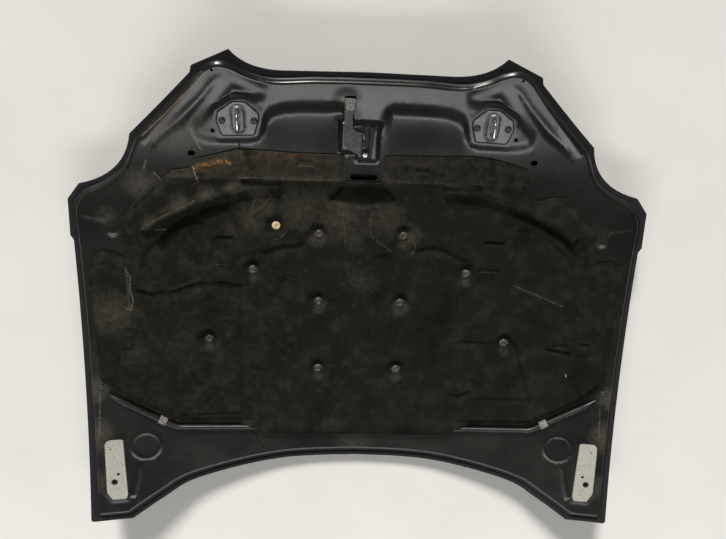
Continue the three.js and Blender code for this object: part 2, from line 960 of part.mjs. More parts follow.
// Cross rows of points where the crown curls most, shared by panel and pad
const curlRowReach = (Math.floor(frontEdgeX / curlRowStep) + 0.5) * curlRowStep;
const curlRows = curlRowShares.map((share) => {
  const y = fromNose(mix(padTopBehind, padBandBehind, share));
  const row = [];
  for (let x = -curlRowReach; x <= curlRowReach; x += curlRowStep) {
    row.push([x, y]);
  }
  return row;
});

const panelTopFace = seamGap + panelThickness;

function panelShape(x, y) {
  const edge = clamp01(depthInside(flangeLine, x, y) / panelWall);
  if (edge === 0) {
    return panelTopFace;
  }
  let rise = panelLift;
  for (const form of panelForms) {
    rise += form.amount * clamp01(depthInside(form.loop, x, y) / form.wall);
  }
  return panelTopFace + edge * rise;
}

// Flat seat pressed into the panel: a plane of its own and the loop that it fills
class Seat {
  constructor(x, y, rise, loopInSeat) {
    this.normal = skinNormal(x, y);
    this.origin = new THREE.Vector3(x, y, skinHeight(x, y) + panelShape(x, y) + rise);
    this.turn = new THREE.Quaternion().setFromUnitVectors(new THREE.Vector3(0, 0, 1), this.normal);
    this.loop = counterClockwise(loopInSeat.map(([u, v]) => this.inPlan(u, v)));
    this.outer = mitred(this.loop, () => -seatWall);
  }

  inPlan(u, v) {
    const point = new THREE.Vector3(u, v, 0).applyQuaternion(this.turn).add(this.origin);
    return [point.x, point.y];
  }

  height(x, y) {
    const dx = x - this.origin.x;
    const dy = y - this.origin.y;
    return this.origin.z - (this.normal.x * dx + this.normal.y * dy) / this.normal.z;
  }

  // Group that stands on the seat, lifted square to it
  group(lift) {
    const group = new THREE.Group();
    group.position.copy(this.origin).addScaledVector(this.normal, lift);
    group.quaternion.copy(this.turn);
    bonnet.add(group);
    return group;
  }
}

// Striker plate outline about its centre, right side; outboard is +X. Its ears reach past the bolts
const strikerEar = strikerBoltSpan + strikerEarReach;
const strikerOutline = [
  [strikerTopOuter, strikerHalfLength],
  [-strikerTopInner, strikerHalfLength],
  [-strikerEar, strikerHalfLength / 3],
  [-strikerEar, 0],
  [-strikerBoltSpan + strikerSkew, strikerSkew / 2 - strikerHalfLength],
  [strikerBoltSpan + strikerSkew, -strikerSkew / 2 - strikerHalfLength],
  [strikerEar + strikerSkew, -strikerHalfLength / 6],
  [strikerEar - strikerSkew, strikerHalfLength / 2.5],
];

function seatLoop(points, margin) {
  return mitred(counterClockwise(points), () => -margin);
}

const strikerSeats = [1, -1].map((side) => {
  const shape = seatLoop(side === 1 ? strikerOutline : mirrored(strikerOutline), strikerSeatMargin);
  return new Seat(side * strikerX, fromNose(strikerBehind), strikerSeatRise, shape);
});

// The seat is wide under the lever and narrow round the pivot; places are from the pivot
const catchSeatLoop = [
  [-catchEyeRadius - catchSeatMargin, -catchBracketRear - catchSeatMargin],
  [catchBracketFrontRight + catchSeatMargin, -catchBracketRear - catchSeatMargin],
  [catchBracketFrontRight + catchSeatMargin, catchFingerFront + catchSeatMargin],
  [-catchPlateLeft - catchSeatMargin, catchFingerFront + catchSeatMargin],
  [-catchPlateLeft - catchSeatMargin, catchPlateRear + catchSeatMargin],
  [-catchEyeRadius - catchSeatMargin, catchPlateRear + catchSeatMargin],
].map(([u, v]) => [u, v - catchMiddle]);
const catchSeat = new Seat(catchX, fromNose(catchBehind - catchMiddle), catchSeatRise, catchSeatLoop);

// Hinge footprint about its centre, right side
const hingeOutline = [
  [hingeWidth / 2 - hingeSlant / 2, hingeLength / 2],
  [-hingeWidth / 2, hingeLength / 2],
  [-hingeWidth / 2 - hingeSlant / 2, -hingeLength / 2 + hingeSlant],
  [-hingeWidth / 2 - hingeSlant / 4, -hingeLength / 2],
  [hingeWidth / 2 - hingeSlant, -hingeLength / 2],
  [hingeWidth / 2, -hingeLength / 2 + hingeWidth / 2],
  [hingeWidth / 2, hingeLength / 2 - hingeSlant / 2],
];

const hingeSeats = [1, -1].map((side) => {
  const shape = side === 1 ? hingeOutline : mirrored(hingeOutline);
  return new Seat(side * hingeX, hingeY, hingeSeatRise, seatLoop(shape, hingeSeatMargin));
});

const seats = [...strikerSeats, catchSeat, ...hingeSeats];

// Upper face of the inner panel
function panelHeight(x, y) {
  let height = skinHeight(x, y) + panelShape(x, y);
  for (const seat of seats) {
    const share = clamp01((depthInside(seat.outer, x, y) + 0.01) / seatWall);
    if (share > 0) {
      height = mix(height, seat.height(x, y), share);
    }
  }
  return height;
}

// Round hole square to a seat, drawn in plan
function seatHole(seat, u, v, radius, sides) {
  return circle(u, v, radius, sides).map(([pu, pv]) => seat.inPlan(pu, pv));
}

const clipPlaces = [
  [113, 836], [288, 736], [112, 646], [110, 448], [408, 540],
].flatMap(([x, y]) => [[x, y], [-x, y]]);
const washerPlace = [-226, 858];
const sideSigns = [1, -1];
const strikerBolts = [strikerBoltSpan, -strikerBoltSpan];

const panelHoles = [
  ...sideSigns.map((side) => circle(side * hornHoleX, fromNose(hornHoleBehind), hornHoleRadius, tinyCircle)),
  ...sideSigns.map((side) =>
    circle(side * lanceHoleX, fromNose(lanceHoleBehind), lanceHoleRadius, smallCircle)),
  ...sideSigns.map((side) =>
    slot(side * ovalHoleX, fromNose(ovalHoleBehind), ovalHoleLength, ovalHoleWidth, slotSteps)),
  slot(0, fromNose(drainSlotBehind), drainSlotLength, drainSlotWidth, slotSteps),
  ...strikerSeats.flatMap((seat) =>
    strikerBolts.map((u) => seatHole(seat, u, strikerBoltForward, boltHoleRadius, smallCircle))),
  ...hingeSeats.flatMap((seat, i) => [
    seatHole(seat, sideSigns[i] * hingeBoltHoleOut, -hingeBoltHoleBack, hingeBoltHoleRadius, largeCircle),
    seatHole(seat, -sideSigns[i] * hingeSmallHoleIn, -hingeSmallHoleBack, hingeSmallHoleRadius, smallCircle),
    seatHole(seat, sideSigns[i] * hingeLocatorOut, hingeLocatorForward, hingeLocatorRadius, tinyCircle),
  ]),
  ...sideSigns.map((side) => circle(side * plugX, plugY, plugHoleRadius, smallCircle)),
  ...[...clipPlaces, washerPlace].map(([x, y]) => circle(x, y, clipHoleRadius, smallCircle)),
];

// Outer skin with its hem folded over the edge of the inner panel
function outerSkin() {
  const builder = new MeshBuilder();
  const plan = planMesh(flangeLine, [], [], skinMeshStep);
  const onSkin = (height) => (i) => aboveSkin(plan.points[i], height);
  const [upper, lower] = addSheet(builder, plan, onSkin(0), onSkin(-skinThickness));
  const hemUnder = 2 * seamGap + panelThickness;
  const hemTop = hemUnder + skinThickness;
  const ring = (loop, height) => builder.addRing(loop.map((point) => aboveSkin(point, height)));
  const rings = [
    upper,
    ring(foldLine, 0),
    ring(foldLine, hemUnder),
    ring(hemLine, hemUnder),
    ring(hemLine, hemTop),
    ring(outline, hemTop),
    ring(outline, -skinThickness),
    lower,
  ];
  rings.slice(1).forEach((next, i) => builder.band(rings[i], next));
  return named("outer_skin", builder.geometry(), paint);
}

// Crease lines of one form: its foot and the top of its wall
function formCreases(form) {
  const top = innerCrease(form.loop, form.wall);
  const creases = [closedCrease(form.loop)];
  if (top.length > 2) {
    creases.push(closedCrease(top));
  }
  return creases;
}

function panelCreases() {
  const creases = seats.flatMap((seat) => [closedCrease(seat.loop), closedCrease(seat.outer)]);
  creases.push(...panelForms.flatMap(formCreases));
  creases.push(closedCrease(innerCrease(flangeLine, panelWall)));
  return creases.concat(curlRows);
}

// Inner panel: one pressed sheet whose flange lies in the hem
function innerPanel() {
  const builder = new MeshBuilder();
  const plan = planMesh(flangeLine, panelHoles, panelCreases(), panelMeshStep);
  const heights = plan.points.map(([x, y]) => panelHeight(x, y));
  const normals = drapedNormals(plan, heights);
  const flangeRing = new Set(plan.outer);
  const upperPoint = (i) => {
    if (flangeRing.has(i)) {
      return aboveSkin(plan.points[i], panelTopFace);
    }
    return new THREE.Vector3(...plan.points[i], heights[i]);
  };
  const lowerPoint = (i) => {
    if (flangeRing.has(i)) {
      return aboveSkin(plan.points[i], seamGap);
    }
    return upperPoint(i).addScaledVector(normals[i], -panelThickness);
  };
  const [upper, lower] = addSheet(builder, plan, upperPoint, lowerPoint);
  const ring = (loop, height) => builder.addRing(loop.map((point) => aboveSkin(point, height)));
  const rings = [
    upper,
    ring(hemLine, panelTopFace),
    ring(panelEdge, panelTopFace),
    ring(panelEdge, seamGap),
    lower,
  ];
  rings.slice(1).forEach((next, i) => builder.band(rings[i], next));
  return named("inner_panel", builder.geometry(), paint);
}

bonnet.add(outerSkin());
bonnet.add(innerPanel());

// Route of the rear seal in plan, from the left end to the right
const sealHalf = [
  [0, sealMiddleY],
  [sealKneeX * 0.35, mix(sealMiddleY, sealKneeY, 0.12)],
  [sealKneeX * 0.7, mix(sealMiddleY, sealKneeY, 0.42)],
  [sealKneeX * 0.93, mix(sealMiddleY, sealKneeY, 0.8)],
  [sealKneeX, sealKneeY],
  [mix(sealKneeX, sealEndX, 0.14), mix(sealKneeY, sealEndY, 0.11)],
  [mix(sealKneeX, sealEndX, 0.5), mix(sealKneeY, sealEndY, 0.47)],
  [mix(sealKneeX, sealEndX, 0.8), mix(sealKneeY, sealEndY, 0.78)],
  [sealEndX, sealEndY],
];
const sealRoute = mirrored(sealHalf).reverse().concat(sealHalf.slice(1));

// Edge of the insulation pad; its two front corners have worn to different shapes
function padOutline() {
  const notch = [[padNotchX, fromNose(padNotchBehind)], [padNotchX, fromNose(padTopBehind)]];
  const front = (line) => notch.concat(line.map(([x, drop]) => [x, fromNose(padTopBehind + drop)]));
  const ear = padEarTop.map(([inwards, back]) => [padEarX - inwards, padEarTopY - back]);
  ear.push([padEarX, (padEarTopY + padEarRearY) / 2], [padEarX - padEarRearIn, padEarRearY]);
  const nearSeal = sealRadius + sealPadGap;
  const besideSeal = sideLine(sealHalf, nearSeal)
    .filter(([x]) => x > lapHalfWidth + lapFade && x < sealEndX - padSealEndIn)
    .reverse();
  const lap = [
    [lapHalfWidth + lapFade, sealMiddleY + nearSeal + seamGap],
    [lapHalfWidth, sealMiddleY - lapBehind / 2],
    [lapHalfWidth - lapFade, sealMiddleY - lapBehind],
    [0, sealMiddleY - lapBehind],
  ];
  const rear = ear.concat(besideSeal, lap);
  const right = front(padFrontRight).concat(rear);
  const left = mirrored(front(padFrontLeft).concat(rear.slice(0, -1))).reverse();
  return counterClockwise(right.concat(left));
}

const padEdge = padOutline();

// Areas of the pad's upper face that are moulded higher or lower
const padForms = [];

function addPadForm(loop, amount, wall) {
  padForms.push({ loop: counterClockwise(loop), amount, wall });
}

function behindNose(line) {
  return line.map(([x, behind]) => [x, fromNose(behind)]);
}

const bandRow = curlRows[curlRows.length - 1];
const frontBand = [
  [padEarX, noseLine],
  [-padEarX, noseLine],
  [-padEarX, fromNose(padBandBehind)],
  ...bandRow,
  [padEarX, fromNose(padBandBehind)],
];
addPadForm(frontBand, -padBandDrop, padBandWall);
addPadForm(bothHalves(behindNose(lensOutline)), -lensDepth, lensWall);
const crest = behindNose(crestLine);
const sideField = behindNose(sideFieldOutline);
for (const flipped of [(loop) => loop, mirrored]) {
  addPadForm(strip(flipped(crest), crestHalfWidth), crestHeight, crestWall);
  addPadForm(flipped(sideField), -sideFieldDrop, sideFieldWall);
  addPadForm(flipped(earPatch.corners), earPatch.rise, earPatch.wall);
  addPadForm(flipped(frontPatch.corners), frontPatch.rise, frontPatch.wall);
}
addPadForm(leftBox.corners, leftBox.rise, leftBox.wall);
addPadForm(rightBox.corners, rightBox.rise, rightBox.wall);
addPadForm(slot(padSlot.x, padSlot.y, padSlot.length, padSlot.width, slotSteps), padSlot.rise, padSlot.wall);
for (const { x, y, radius, rise, wall } of padRounds) {
  addPadForm(circle(x, y, radius, smallCircle + 2), rise, wall);
}

const clipCentres = [...clipPlaces, washerPlace];

function clipDistance(x, y) {
  return Math.min(...clipCentres.map(([cx, cy]) => Math.hypot(x - cx, y - cy)));
}

// Where the pad's rear edge laps over the seal
function lapShare(x, y) {
  const across = clamp01((lapHalfWidth + 2 * lapFade - Math.abs(x)) / lapFade);
  const nearSeal = clamp01((lapLift + sealRadius + sealPadGap - lineDistance(sealRoute, x, y)) / lapLift);
  return across * nearSeal;
}

function padUnderside(x, y) {
  const seated = clamp01((clipDistance(x, y) - clipFlatRadius) / clipFlatRadius);
  return panelHeight(x, y) + mix(padSeatGap, padGap, seated) + lapLift * lapShare(x, y);
}

function padThickness(x, y) {
  let loft = padLoft;
  for (const form of padForms) {
    loft += form.amount * clamp01(depthInside(form.loop, x, y) / form.wall);
  }
  const rim = clamp01((depthInside(padEdge, x, y) - padRimBand) / padRimWall);
  const dimple = clamp01((clipDistance(x, y) - clipFlatRadius) / (clipDimpleRadius - clipFlatRadius));
  const overSeal = 1 - lapShare(x, y);
  return padPinch + Math.max(0, loft) * rim * dimple * overSeal;
}

// Moulded insulation pad, held by the push clips
function insulationPad() {
  const builder = new MeshBuilder();
  const creases = padForms.flatMap(formCreases);
  for (const [x, y] of clipCentres) {
    creases.push(closedCrease(circle(x, y, clipFlatRadius, smallCircle)));
    creases.push(closedCrease(circle(x, y, clipDimpleRadius, middleCircle)));
  }
  creases.push(closedCrease(innerCrease(padEdge, padRimBand)));
  creases.push(closedCrease(innerCrease(padEdge, padRimBand + padRimWall)));
  creases.push(...curlRows);
  const underLap = sealRoute.filter(([x]) => Math.abs(x) < lapHalfWidth + 2 * lapFade);
  const nearSeal = sealRadius + sealPadGap;
  for (const distance of [-nearSeal, nearSeal, nearSeal + lapLift]) {
    creases.unshift(sideLine(underLap, distance));
  }
  const holes = clipCentres.map(([x, y]) => circle(x, y, clipHoleRadius, smallCircle));
  const plan = planMesh(padEdge, holes, creases, padMeshStep);
  const lowerPoint = (i) => new THREE.Vector3(...plan.points[i], padUnderside(...plan.points[i]));
  const upperPoint = (i) => {
    const [x, y] = plan.points[i];
    return new THREE.Vector3(x, y, padUnderside(x, y) + padThickness(x, y));
  };
  const [upper, lower] = addSheet(builder, plan, upperPoint, lowerPoint);
  builder.band(upper, lower);
  return named("insulation_pad", builder.geometry(), felt);
}

bonnet.add(insulationPad());

function solid(geometry) {
  const plain = new THREE.BufferGeometry();
  plain.setAttribute("position", geometry.getAttribute("position"));
  if (geometry.index) {
    plain.setIndex(geometry.index);
  }
  const welded = mergeVertices(plain, 1e-4);
  return new wasm.Manifold(new wasm.Mesh({
    numProp: 3,
    vertProperties: new Float32Array(welded.getAttribute("position").array),
    triVerts: new Uint32Array(welded.index.array),
  }));
}

function fromSolid(body) {
  const mesh = body.getMesh();
  const geometry = new THREE.BufferGeometry();
  geometry.setAttribute("position", new THREE.BufferAttribute(new Float32Array(mesh.vertProperties), 3));
  geometry.setIndex(new THREE.BufferAttribute(new Uint32Array(mesh.triVerts), 1));
  return geometry;
}

// Flat blank of a given thickness, standing on z = 0
function blank(points, thickness) {
  const shape = new THREE.Shape(points.map(([x, y]) => new THREE.Vector2(x, y)));
  return new THREE.ExtrudeGeometry(shape, { depth: thickness, bevelEnabled: false });
}

// Upright round bar from one height to another
function bar(x, y, radius, from, to, sides) {
  const geometry = new THREE.CylinderGeometry(radius, radius, to - from, sides);
  geometry.rotateX(Math.PI / 2);
  geometry.translate(x, y, (from + to) / 2);
  return geometry;
}

function turned(profile, sides) {
  const points = profile.map(([radius, height]) => new THREE.Vector2(radius, height));
  const geometry = new THREE.LatheGeometry(points, sides);
  geometry.rotateX(Math.PI / 2);
  const plain = new THREE.BufferGeometry();
  plain.setAttribute("position", geometry.getAttribute("position"));
  plain.setIndex(geometry.index);
  return mergeVertices(plain, 1e-4);
}

// Cutter for a hole through a plate that stands on z = 0
function throughHole(x, y, radius, thickness) {
  return solid(bar(x, y, radius, -1, thickness + 1, middleCircle));
}

// Solid swept along points, with the section's second axis held towards "up"
function sweep(path, ups, section) {
  const builder = new MeshBuilder();
  const rings = path.map((point, i) => {
    const before = path[Math.max(0, i - 1)];
    const after = path[Math.min(path.length - 1, i + 1)];
    const along = after.clone().sub(before).normalize();
    const side = along.clone().cross(ups[i]).normalize();
    const up = side.clone().cross(along).normalize();
    return builder.addRing(section.map(([u, v]) =>
      point.clone().addScaledVector(side, u).addScaledVector(up, v)));
  });
  rings.slice(1).forEach((next, i) => builder.band(rings[i], next));
  builder.capRing(rings[0], false);
  builder.capRing(rings[rings.length - 1], true);
  return builder.geometry();
}

function volumeOf(geometry) {
  const position = geometry.getAttribute("position");
  const index = geometry.index;
  let sum = 0;
  for (let i = 0; i < index.count; i += 3) {
    const corners = [0, 1, 2].map((k) =>
      new THREE.Vector3().fromBufferAttribute(position, index.getX(i + k)));
    sum += corners[0].dot(corners[1].cross(corners[2]));
  }
  return sum / 6;
}

// Same faces, pointing out of the body
function facingOut(geometry) {
  if (volumeOf(geometry) < 0) {
    const index = geometry.index;
    for (let i = 0; i < index.count; i += 3) {
      const second = index.getX(i + 1);
      index.setX(i + 1, index.getX(i + 2));
      index.setX(i + 2, second);
    }
  }
  return geometry;
}

// Profile of a clip's stem and barb, from under its head down through pad and panel
function clipStem() {
  const bottom = -padPinch - padSeatGap - panelThickness - 3 * seamGap;
  return [
    [clipStemRadius, 0],
    [clipStemRadius, bottom],
    [clipBarbRadius, bottom],
    [clipBarbPoint, bottom - clipBarbLength],
    [0, bottom - clipBarbLength],
  ];
}

// Push clip with a shallow dished head
function pushClip() {
  return turned([
    [0, clipHeadHeight * 0.45],
    [clipHeadRadius * 0.35, clipHeadHeight * 0.45],
    [clipHeadRadius * 0.55, clipHeadHeight],
    [clipHeadRadius * 0.8, clipHeadHeight * 0.8],
    [clipHeadRadius, 0],
    ...clipStem(),
  ].reverse(), smallCircle);
}

// Clip that has lost its cap: a pale washer with a small hole, on the same stem
function bareClip() {
  return turned([
    [0, -washerHeight],
    [washerHoleRadius, -washerHeight],
    [washerHoleRadius, washerHeight],
    [washerOuterRadius - washerChamfer, washerHeight],
    [washerOuterRadius, 0],
    ...clipStem(),
  ].reverse(), middleCircle);
}

function place(mesh, position, normal) {
  mesh.position.copy(position);
  mesh.quaternion.setFromUnitVectors(new THREE.Vector3(0, 0, 1), normal);
  bonnet.add(mesh);
}

function placeOnPad(mesh, x, y) {
  const foot = new THREE.Vector3(x, y, padUnderside(x, y) + padThickness(x, y));
  place(mesh, foot.addScaledVector(skinNormal(x, y), seamGap), skinNormal(x, y));
}

clipPlaces.forEach(([x, y], i) => {
  placeOnPad(named(`push_clip_${i + 1}`, facingOut(pushClip()), blackPlastic), x, y);
});
placeOnPad(named("bare_clip", facingOut(bareClip()), creamPlastic), ...washerPlace);

function sideName(side) {
  return side === 1 ? "right" : "left";
}

// A right-hand outline as it is on either side
function onSide(side, points) {
  return counterClockwise(side === 1 ? points : mirrored(points));
}

// Striker plate: blank with a raised oval boss, two bolt holes and two holes for the loop's feet
function strikerPlate(side) {
  const bossTop = strikerPlateThickness + strikerBossHeight;
  const bossRing = (inset, z) => {
    const ring = slot(0, 0, strikerBossLength - 2 * inset, strikerBossWidth - 2 * inset, slotSteps + 1);
    return counterClockwise(ring.map(([u, v]) => [v, u])).map(([u, v]) => new THREE.Vector3(u, v, z));
  };
  const builder = new MeshBuilder();
  const foot = builder.addRing(bossRing(0, strikerPlateThickness / 2));
  const top = builder.addRing(bossRing(strikerBossWall, bossTop));
  builder.band(top, foot);
  builder.capRing(top, false);
  builder.capRing(foot, true);
  let body = solid(blank(onSide(side, strikerOutline), strikerPlateThickness)).add(solid(builder.geometry()));
  for (const u of strikerBolts) {
    body = body.subtract(throughHole(u, strikerBoltForward, boltHoleRadius, strikerPlateThickness));
  }
  for (const v of [loopSpan / 2, -loopSpan / 2]) {
    body = body.subtract(throughHole(0, v, loopWireRadius + pinClearance, bossTop));
  }
  return facingOut(fromSolid(body));
}

// Striker loop: round bar bent into a U, its feet held in the plate
function strikerLoop() {
  const bossTop = strikerPlateThickness + strikerBossHeight;
  const top = bossTop + loopHeight - loopWireRadius;
  const reach = loopSpan / 2;
  const path = [new THREE.Vector3(0, reach, 0), new THREE.Vector3(0, reach, bossTop)];
  for (let i = 0; i <= slotSteps; i++) {
    const angle = (i / slotSteps) * (Math.PI / 2);
    const y = reach - loopBend + loopBend * Math.cos(angle);
    path.push(new THREE.Vector3(0, y, top - loopBend + loopBend * Math.sin(angle)));
  }
  const back = path.slice().reverse().map((point) => new THREE.Vector3(0, -point.y, point.z));
  const whole = path.concat(back);
  const ups = whole.map(() => new THREE.Vector3(1, 0, 0));
  return facingOut(sweep(whole, ups, circle(0, 0, loopWireRadius, smallCircle)));
}

// Flanged hexagon bolt, head up, standing on z = 0
function flangeBolt() {
  const hexRadius = boltHexAcross / Math.sqrt(3);
  const head = bar(0, 0, hexRadius, boltFlangeHeight / 2, boltHeadHeight, 6);
  const flange = bar(0, 0, boltFlangeRadius, 0, boltFlangeHeight, largeCircle);
  const shank = bar(0, 0, boltShankRadius, -boltLength, boltFlangeHeight / 2, smallCircle);
  return facingOut(fromSolid(solid(head).add(solid(flange)).add(solid(shank))));
}

// Weld nut round a bolt, hanging below z = 0
function weldNut(across, boreRadius, height) {
  const nut = bar(0, 0, across / Math.sqrt(3), -height, 0, 6);
  const bore = bar(0, 0, boreRadius, -height - 1, 1, smallCircle);
  return facingOut(fromSolid(solid(nut).subtract(solid(bore))));
}

// Plate under a seat, with holes
function reinforcement(points, thickness, holes) {
  let body = solid(blank(points, thickness));
  for (const [u, v, radius] of holes) {
    body = body.subtract(throughHole(u, v, radius, thickness));
  }
  return facingOut(fromSolid(body));
}

strikerSeats.forEach((seat, i) => {
  const side = sideSigns[i];
  const name = sideName(side);
  const onPanel = seat.group(seamGap);
  onPanel.add(named(`striker_plate_${name}`, strikerPlate(side), plateFinish));
  onPanel.add(named(`striker_loop_${name}`, strikerLoop(), plateFinish));
  const underPanel = seat.group(-panelThickness - seamGap - reinforcementThickness);
  const shape = mitred(onSide(side, strikerOutline), () => reinforcementMargin);
  const holes = strikerBolts.map((u) => [u, strikerBoltForward, boltHoleRadius]);
  const plate = reinforcement(shape, reinforcementThickness, holes);
  underPanel.add(named(`striker_reinforcement_${name}`, plate, blackSteel));
  strikerBolts.forEach((u, k) => {
    const bolt = named(`striker_bolt_${name}_${k + 1}`, flangeBolt(), steel);
    bolt.position.set(u, strikerBoltForward, strikerPlateThickness + seamGap);
    onPanel.add(bolt);
    const nutShape = weldNut(nutAcross, boltShankRadius + pinClearance, nutHeight);
    const nut = named(`striker_nut_${name}_${k + 1}`, nutShape, steel);
    nut.position.set(u, strikerBoltForward, -seamGap);
    underPanel.add(nut);
  });
});

// Safety catch
const leverLevel = catchBracketThickness + catchLeverGap;

// Pressed bracket: tapered plate with an upright tab at its front, which the spring bears on
function catchBracket() {
  const plate = blank([
    [-catchEyeRadius, -catchBracketRear],
    [catchBracketHalfWidth, -catchBracketRear],
    [catchBracketFrontRight, catchBracketFront],
    [-catchBracketFrontLeft, catchBracketFront],
  ], catchBracketThickness);
  const tabLeft = springCoilRadius + springWireRadius + seamGap;
  const tab = new THREE.BoxGeometry(catchTabWidth, catchBracketThickness, catchTabHeight);
  const tabY = catchBracketFront - catchBracketThickness / 2;
  tab.translate(tabLeft + catchTabWidth / 2, tabY, catchTabHeight / 2);
  const pinHole = throughHole(0, 0, catchPinRadius + pinClearance, catchBracketThickness);
  const rivetRadius = catchRivetRadius + pinClearance;
  const rivetHole = throughHole(catchRivetX, catchRivetForward, rivetRadius, catchBracketThickness);
  return facingOut(fromSolid(solid(plate).add(solid(tab)).subtract(pinHole).subtract(rivetHole)));
}

// Side of the hook that the spring's moving leg bears on
const hookLeft = -springCoilRadius + springWireRadius + seamGap;

// Side view of the hook: upright stem, lip reaching forward, sloped top
function hookProfile() {
  const rear = catchHookForward - catchHookWidth / 2;
  const front = catchHookForward + catchHookWidth / 2;
  const lipBottom = catchHookHeight - catchHookLip;
  const reach = catchHookForward + catchHookReach;
  return [
    [rear, 0],
    [front, 0],
    [catchHookForward, catchHookHeight / 3],
    [catchHookForward, lipBottom],
    [reach, lipBottom],
    [reach - catchHookSlope, catchHookHeight - catchHookSlope / 2],
    [catchHookForward, catchHookHeight],
    [rear, catchHookHeight - catchHookSlope],
  ];
}

// Lever: eye, plate, strap and finger pad in one blank, with the hook bent up from it
function catchLever() {
  const left = -catchPlateLeft;
  const strapRight = left + catchStrapWidth;
  const fingerRight = left + catchFingerWidth;
  const hookFront = catchHookForward + catchHookWidth / 2;
  const eye = [];
  for (let i = 0; i <= eyeSteps; i++) {
    const angle = mix(eyeFrom, eyeTo, i / eyeSteps) * Math.PI;
    eye.push([catchEyeRadius * Math.cos(angle), catchEyeRadius * Math.sin(angle)]);
  }
  const plate = blank([
    ...eye,
    [hookLeft + catchHookThickness, hookFront + seamGap],
    [mix(strapRight, hookLeft, 0.5), catchPlateFront],
    [strapRight, catchPlateFront + catchPlateFillet],
    [strapRight, catchStrapFront],
    [fingerRight, catchStrapFront + catchPlateFillet / 2],
    [fingerRight, catchFingerFront],
    [left, catchFingerFront],
    [left, catchPlateRear + catchChamfer],
    [left + catchChamfer, catchPlateRear],
  ], catchLeverThickness);
  const hook = blank(hookProfile(), catchHookThickness);
  hook.rotateY(Math.PI / 2);
  hook.rotateX(Math.PI / 2);
  hook.translate(hookLeft, 0, 0);
  const pinHole = throughHole(0, 0, catchPinRadius + pinClearance, catchLeverThickness);
  return facingOut(fromSolid(solid(plate).add(solid(hook)).subtract(pinHole)));
}

// Heights of the spring's first and last turn above the seat
const springBottom = leverLevel + catchLeverThickness + seamGap + springWireRadius;
const springTop = springBottom + springTurns * springPitch;

// Pivot rivet through bracket and lever, its head over the spring
function catchPin() {
  const top = springTop + springWireRadius + seamGap;
  return turned([
    [0, 0],
    [catchPinRadius, 0],
    [catchPinRadius, top],
    [catchPinHeadRadius, top],
    [catchPinHeadRadius * 0.8, top + catchPinHeadHeight],
    [0, top + catchPinHeadHeight],
  ], middleCircle);
}

// Torsion spring round the pin: one leg beside the bracket's tab, the other beside the hook
function catchSpring() {
  const path = [new THREE.Vector3(springCoilRadius, catchBracketFront, springBottom)];
  const steps = Math.round(springTurns * springTurnSteps);
  for (let i = 0; i <= steps; i++) {
    const angle = (-i / springTurnSteps) * 2 * Math.PI;
    const z = mix(springBottom, springTop, i / steps);
    path.push(new THREE.Vector3(springCoilRadius * Math.cos(angle), springCoilRadius * Math.sin(angle), z));
  }
  path.push(new THREE.Vector3(path[path.length - 1].x, catchHookForward, springTop));
  const ups = path.map(() => new THREE.Vector3(0, 0, 1));
  return facingOut(sweep(path, ups, circle(0, 0, springWireRadius, tinyCircle)));
}

// Rivet that holds the bracket's front on its seat
function catchRivet() {
  const head = catchBracketThickness + seamGap;
  return turned([
    [0, 0],
    [catchRivetRadius, 0],
    [catchRivetRadius, head],
    [catchRivetHead, head],
    [catchRivetHead * 0.6, head + catchRivetHeadHeight],
    [0, head + catchRivetHeadHeight],
  ], smallCircle);
}

const catchGroup = new THREE.Group();
catchGroup.position.set(0, -catchMiddle, 0);
catchSeat.group(seamGap).add(catchGroup);
catchGroup.add(named("catch_bracket", catchBracket(), blackSteel));
const lever = named("catch_lever", catchLever(), plateFinish);
lever.position.z = leverLevel;
catchGroup.add(lever);
catchGroup.add(named("catch_pivot_pin", facingOut(catchPin()), steel));
catchGroup.add(named("catch_spring", catchSpring(), blackSteel));
const rivet = named("catch_rivet", facingOut(catchRivet()), steel);
rivet.position.set(catchRivetX, catchRivetForward, 0);
catchGroup.add(rivet);

// Seal on the rear of the panel
function sealPoint([x, y]) {
  const foot = new THREE.Vector3(x, y, panelHeight(x, y));
  return foot.addScaledVector(skinNormal(x, y), sealSeatGap + sealRadius);
}

function rearSeal() {
  const plan = [];
  for (let i = 0; i + 1 < sealRoute.length; i++) {
    const [ax, ay] = sealRoute[i];
    const [bx, by] = sealRoute[i + 1];
    const pieces = Math.max(1, Math.round(Math.hypot(bx - ax, by - ay) / outlineStep));
    for (let k = 0; k < pieces; k++) {
      plan.push([mix(ax, bx, k / pieces), mix(ay, by, k / pieces)]);
    }
  }
  plan.push(sealRoute[sealRoute.length - 1]);
  const path = plan.map(sealPoint);
  const ups = plan.map(([x, y]) => skinNormal(x, y));
  return facingOut(sweep(path, ups, circle(0, 0, sealRadius, sealSides)));
}

bonnet.add(named("rear_seal", rearSeal(), rubber));

// Saddle clip over the seal, just past its bend
function sealClip() {
  const inner = sealRadius + seamGap + pinClearance;
  const outer = inner + sealClipWall;
  const foot = -sealRadius - sealSeatGap + seamGap;
  const shape = new THREE.Shape();
  shape.moveTo(outer, foot);
  shape.lineTo(outer, 0);
  shape.absarc(0, 0, outer, 0, Math.PI, false);
  shape.lineTo(-outer, foot);
  shape.lineTo(-inner, foot);
  shape.lineTo(-inner, 0);
  shape.absarc(0, 0, inner, Math.PI, 0, true);
  shape.lineTo(inner, foot);
  const options = { depth: sealClipLength, bevelEnabled: false, curveSegments: sealClipSides };
  const geometry = new THREE.ExtrudeGeometry(shape, options);
  geometry.translate(0, 0, -sealClipLength / 2);
  return fromSolid(solid(geometry));
}

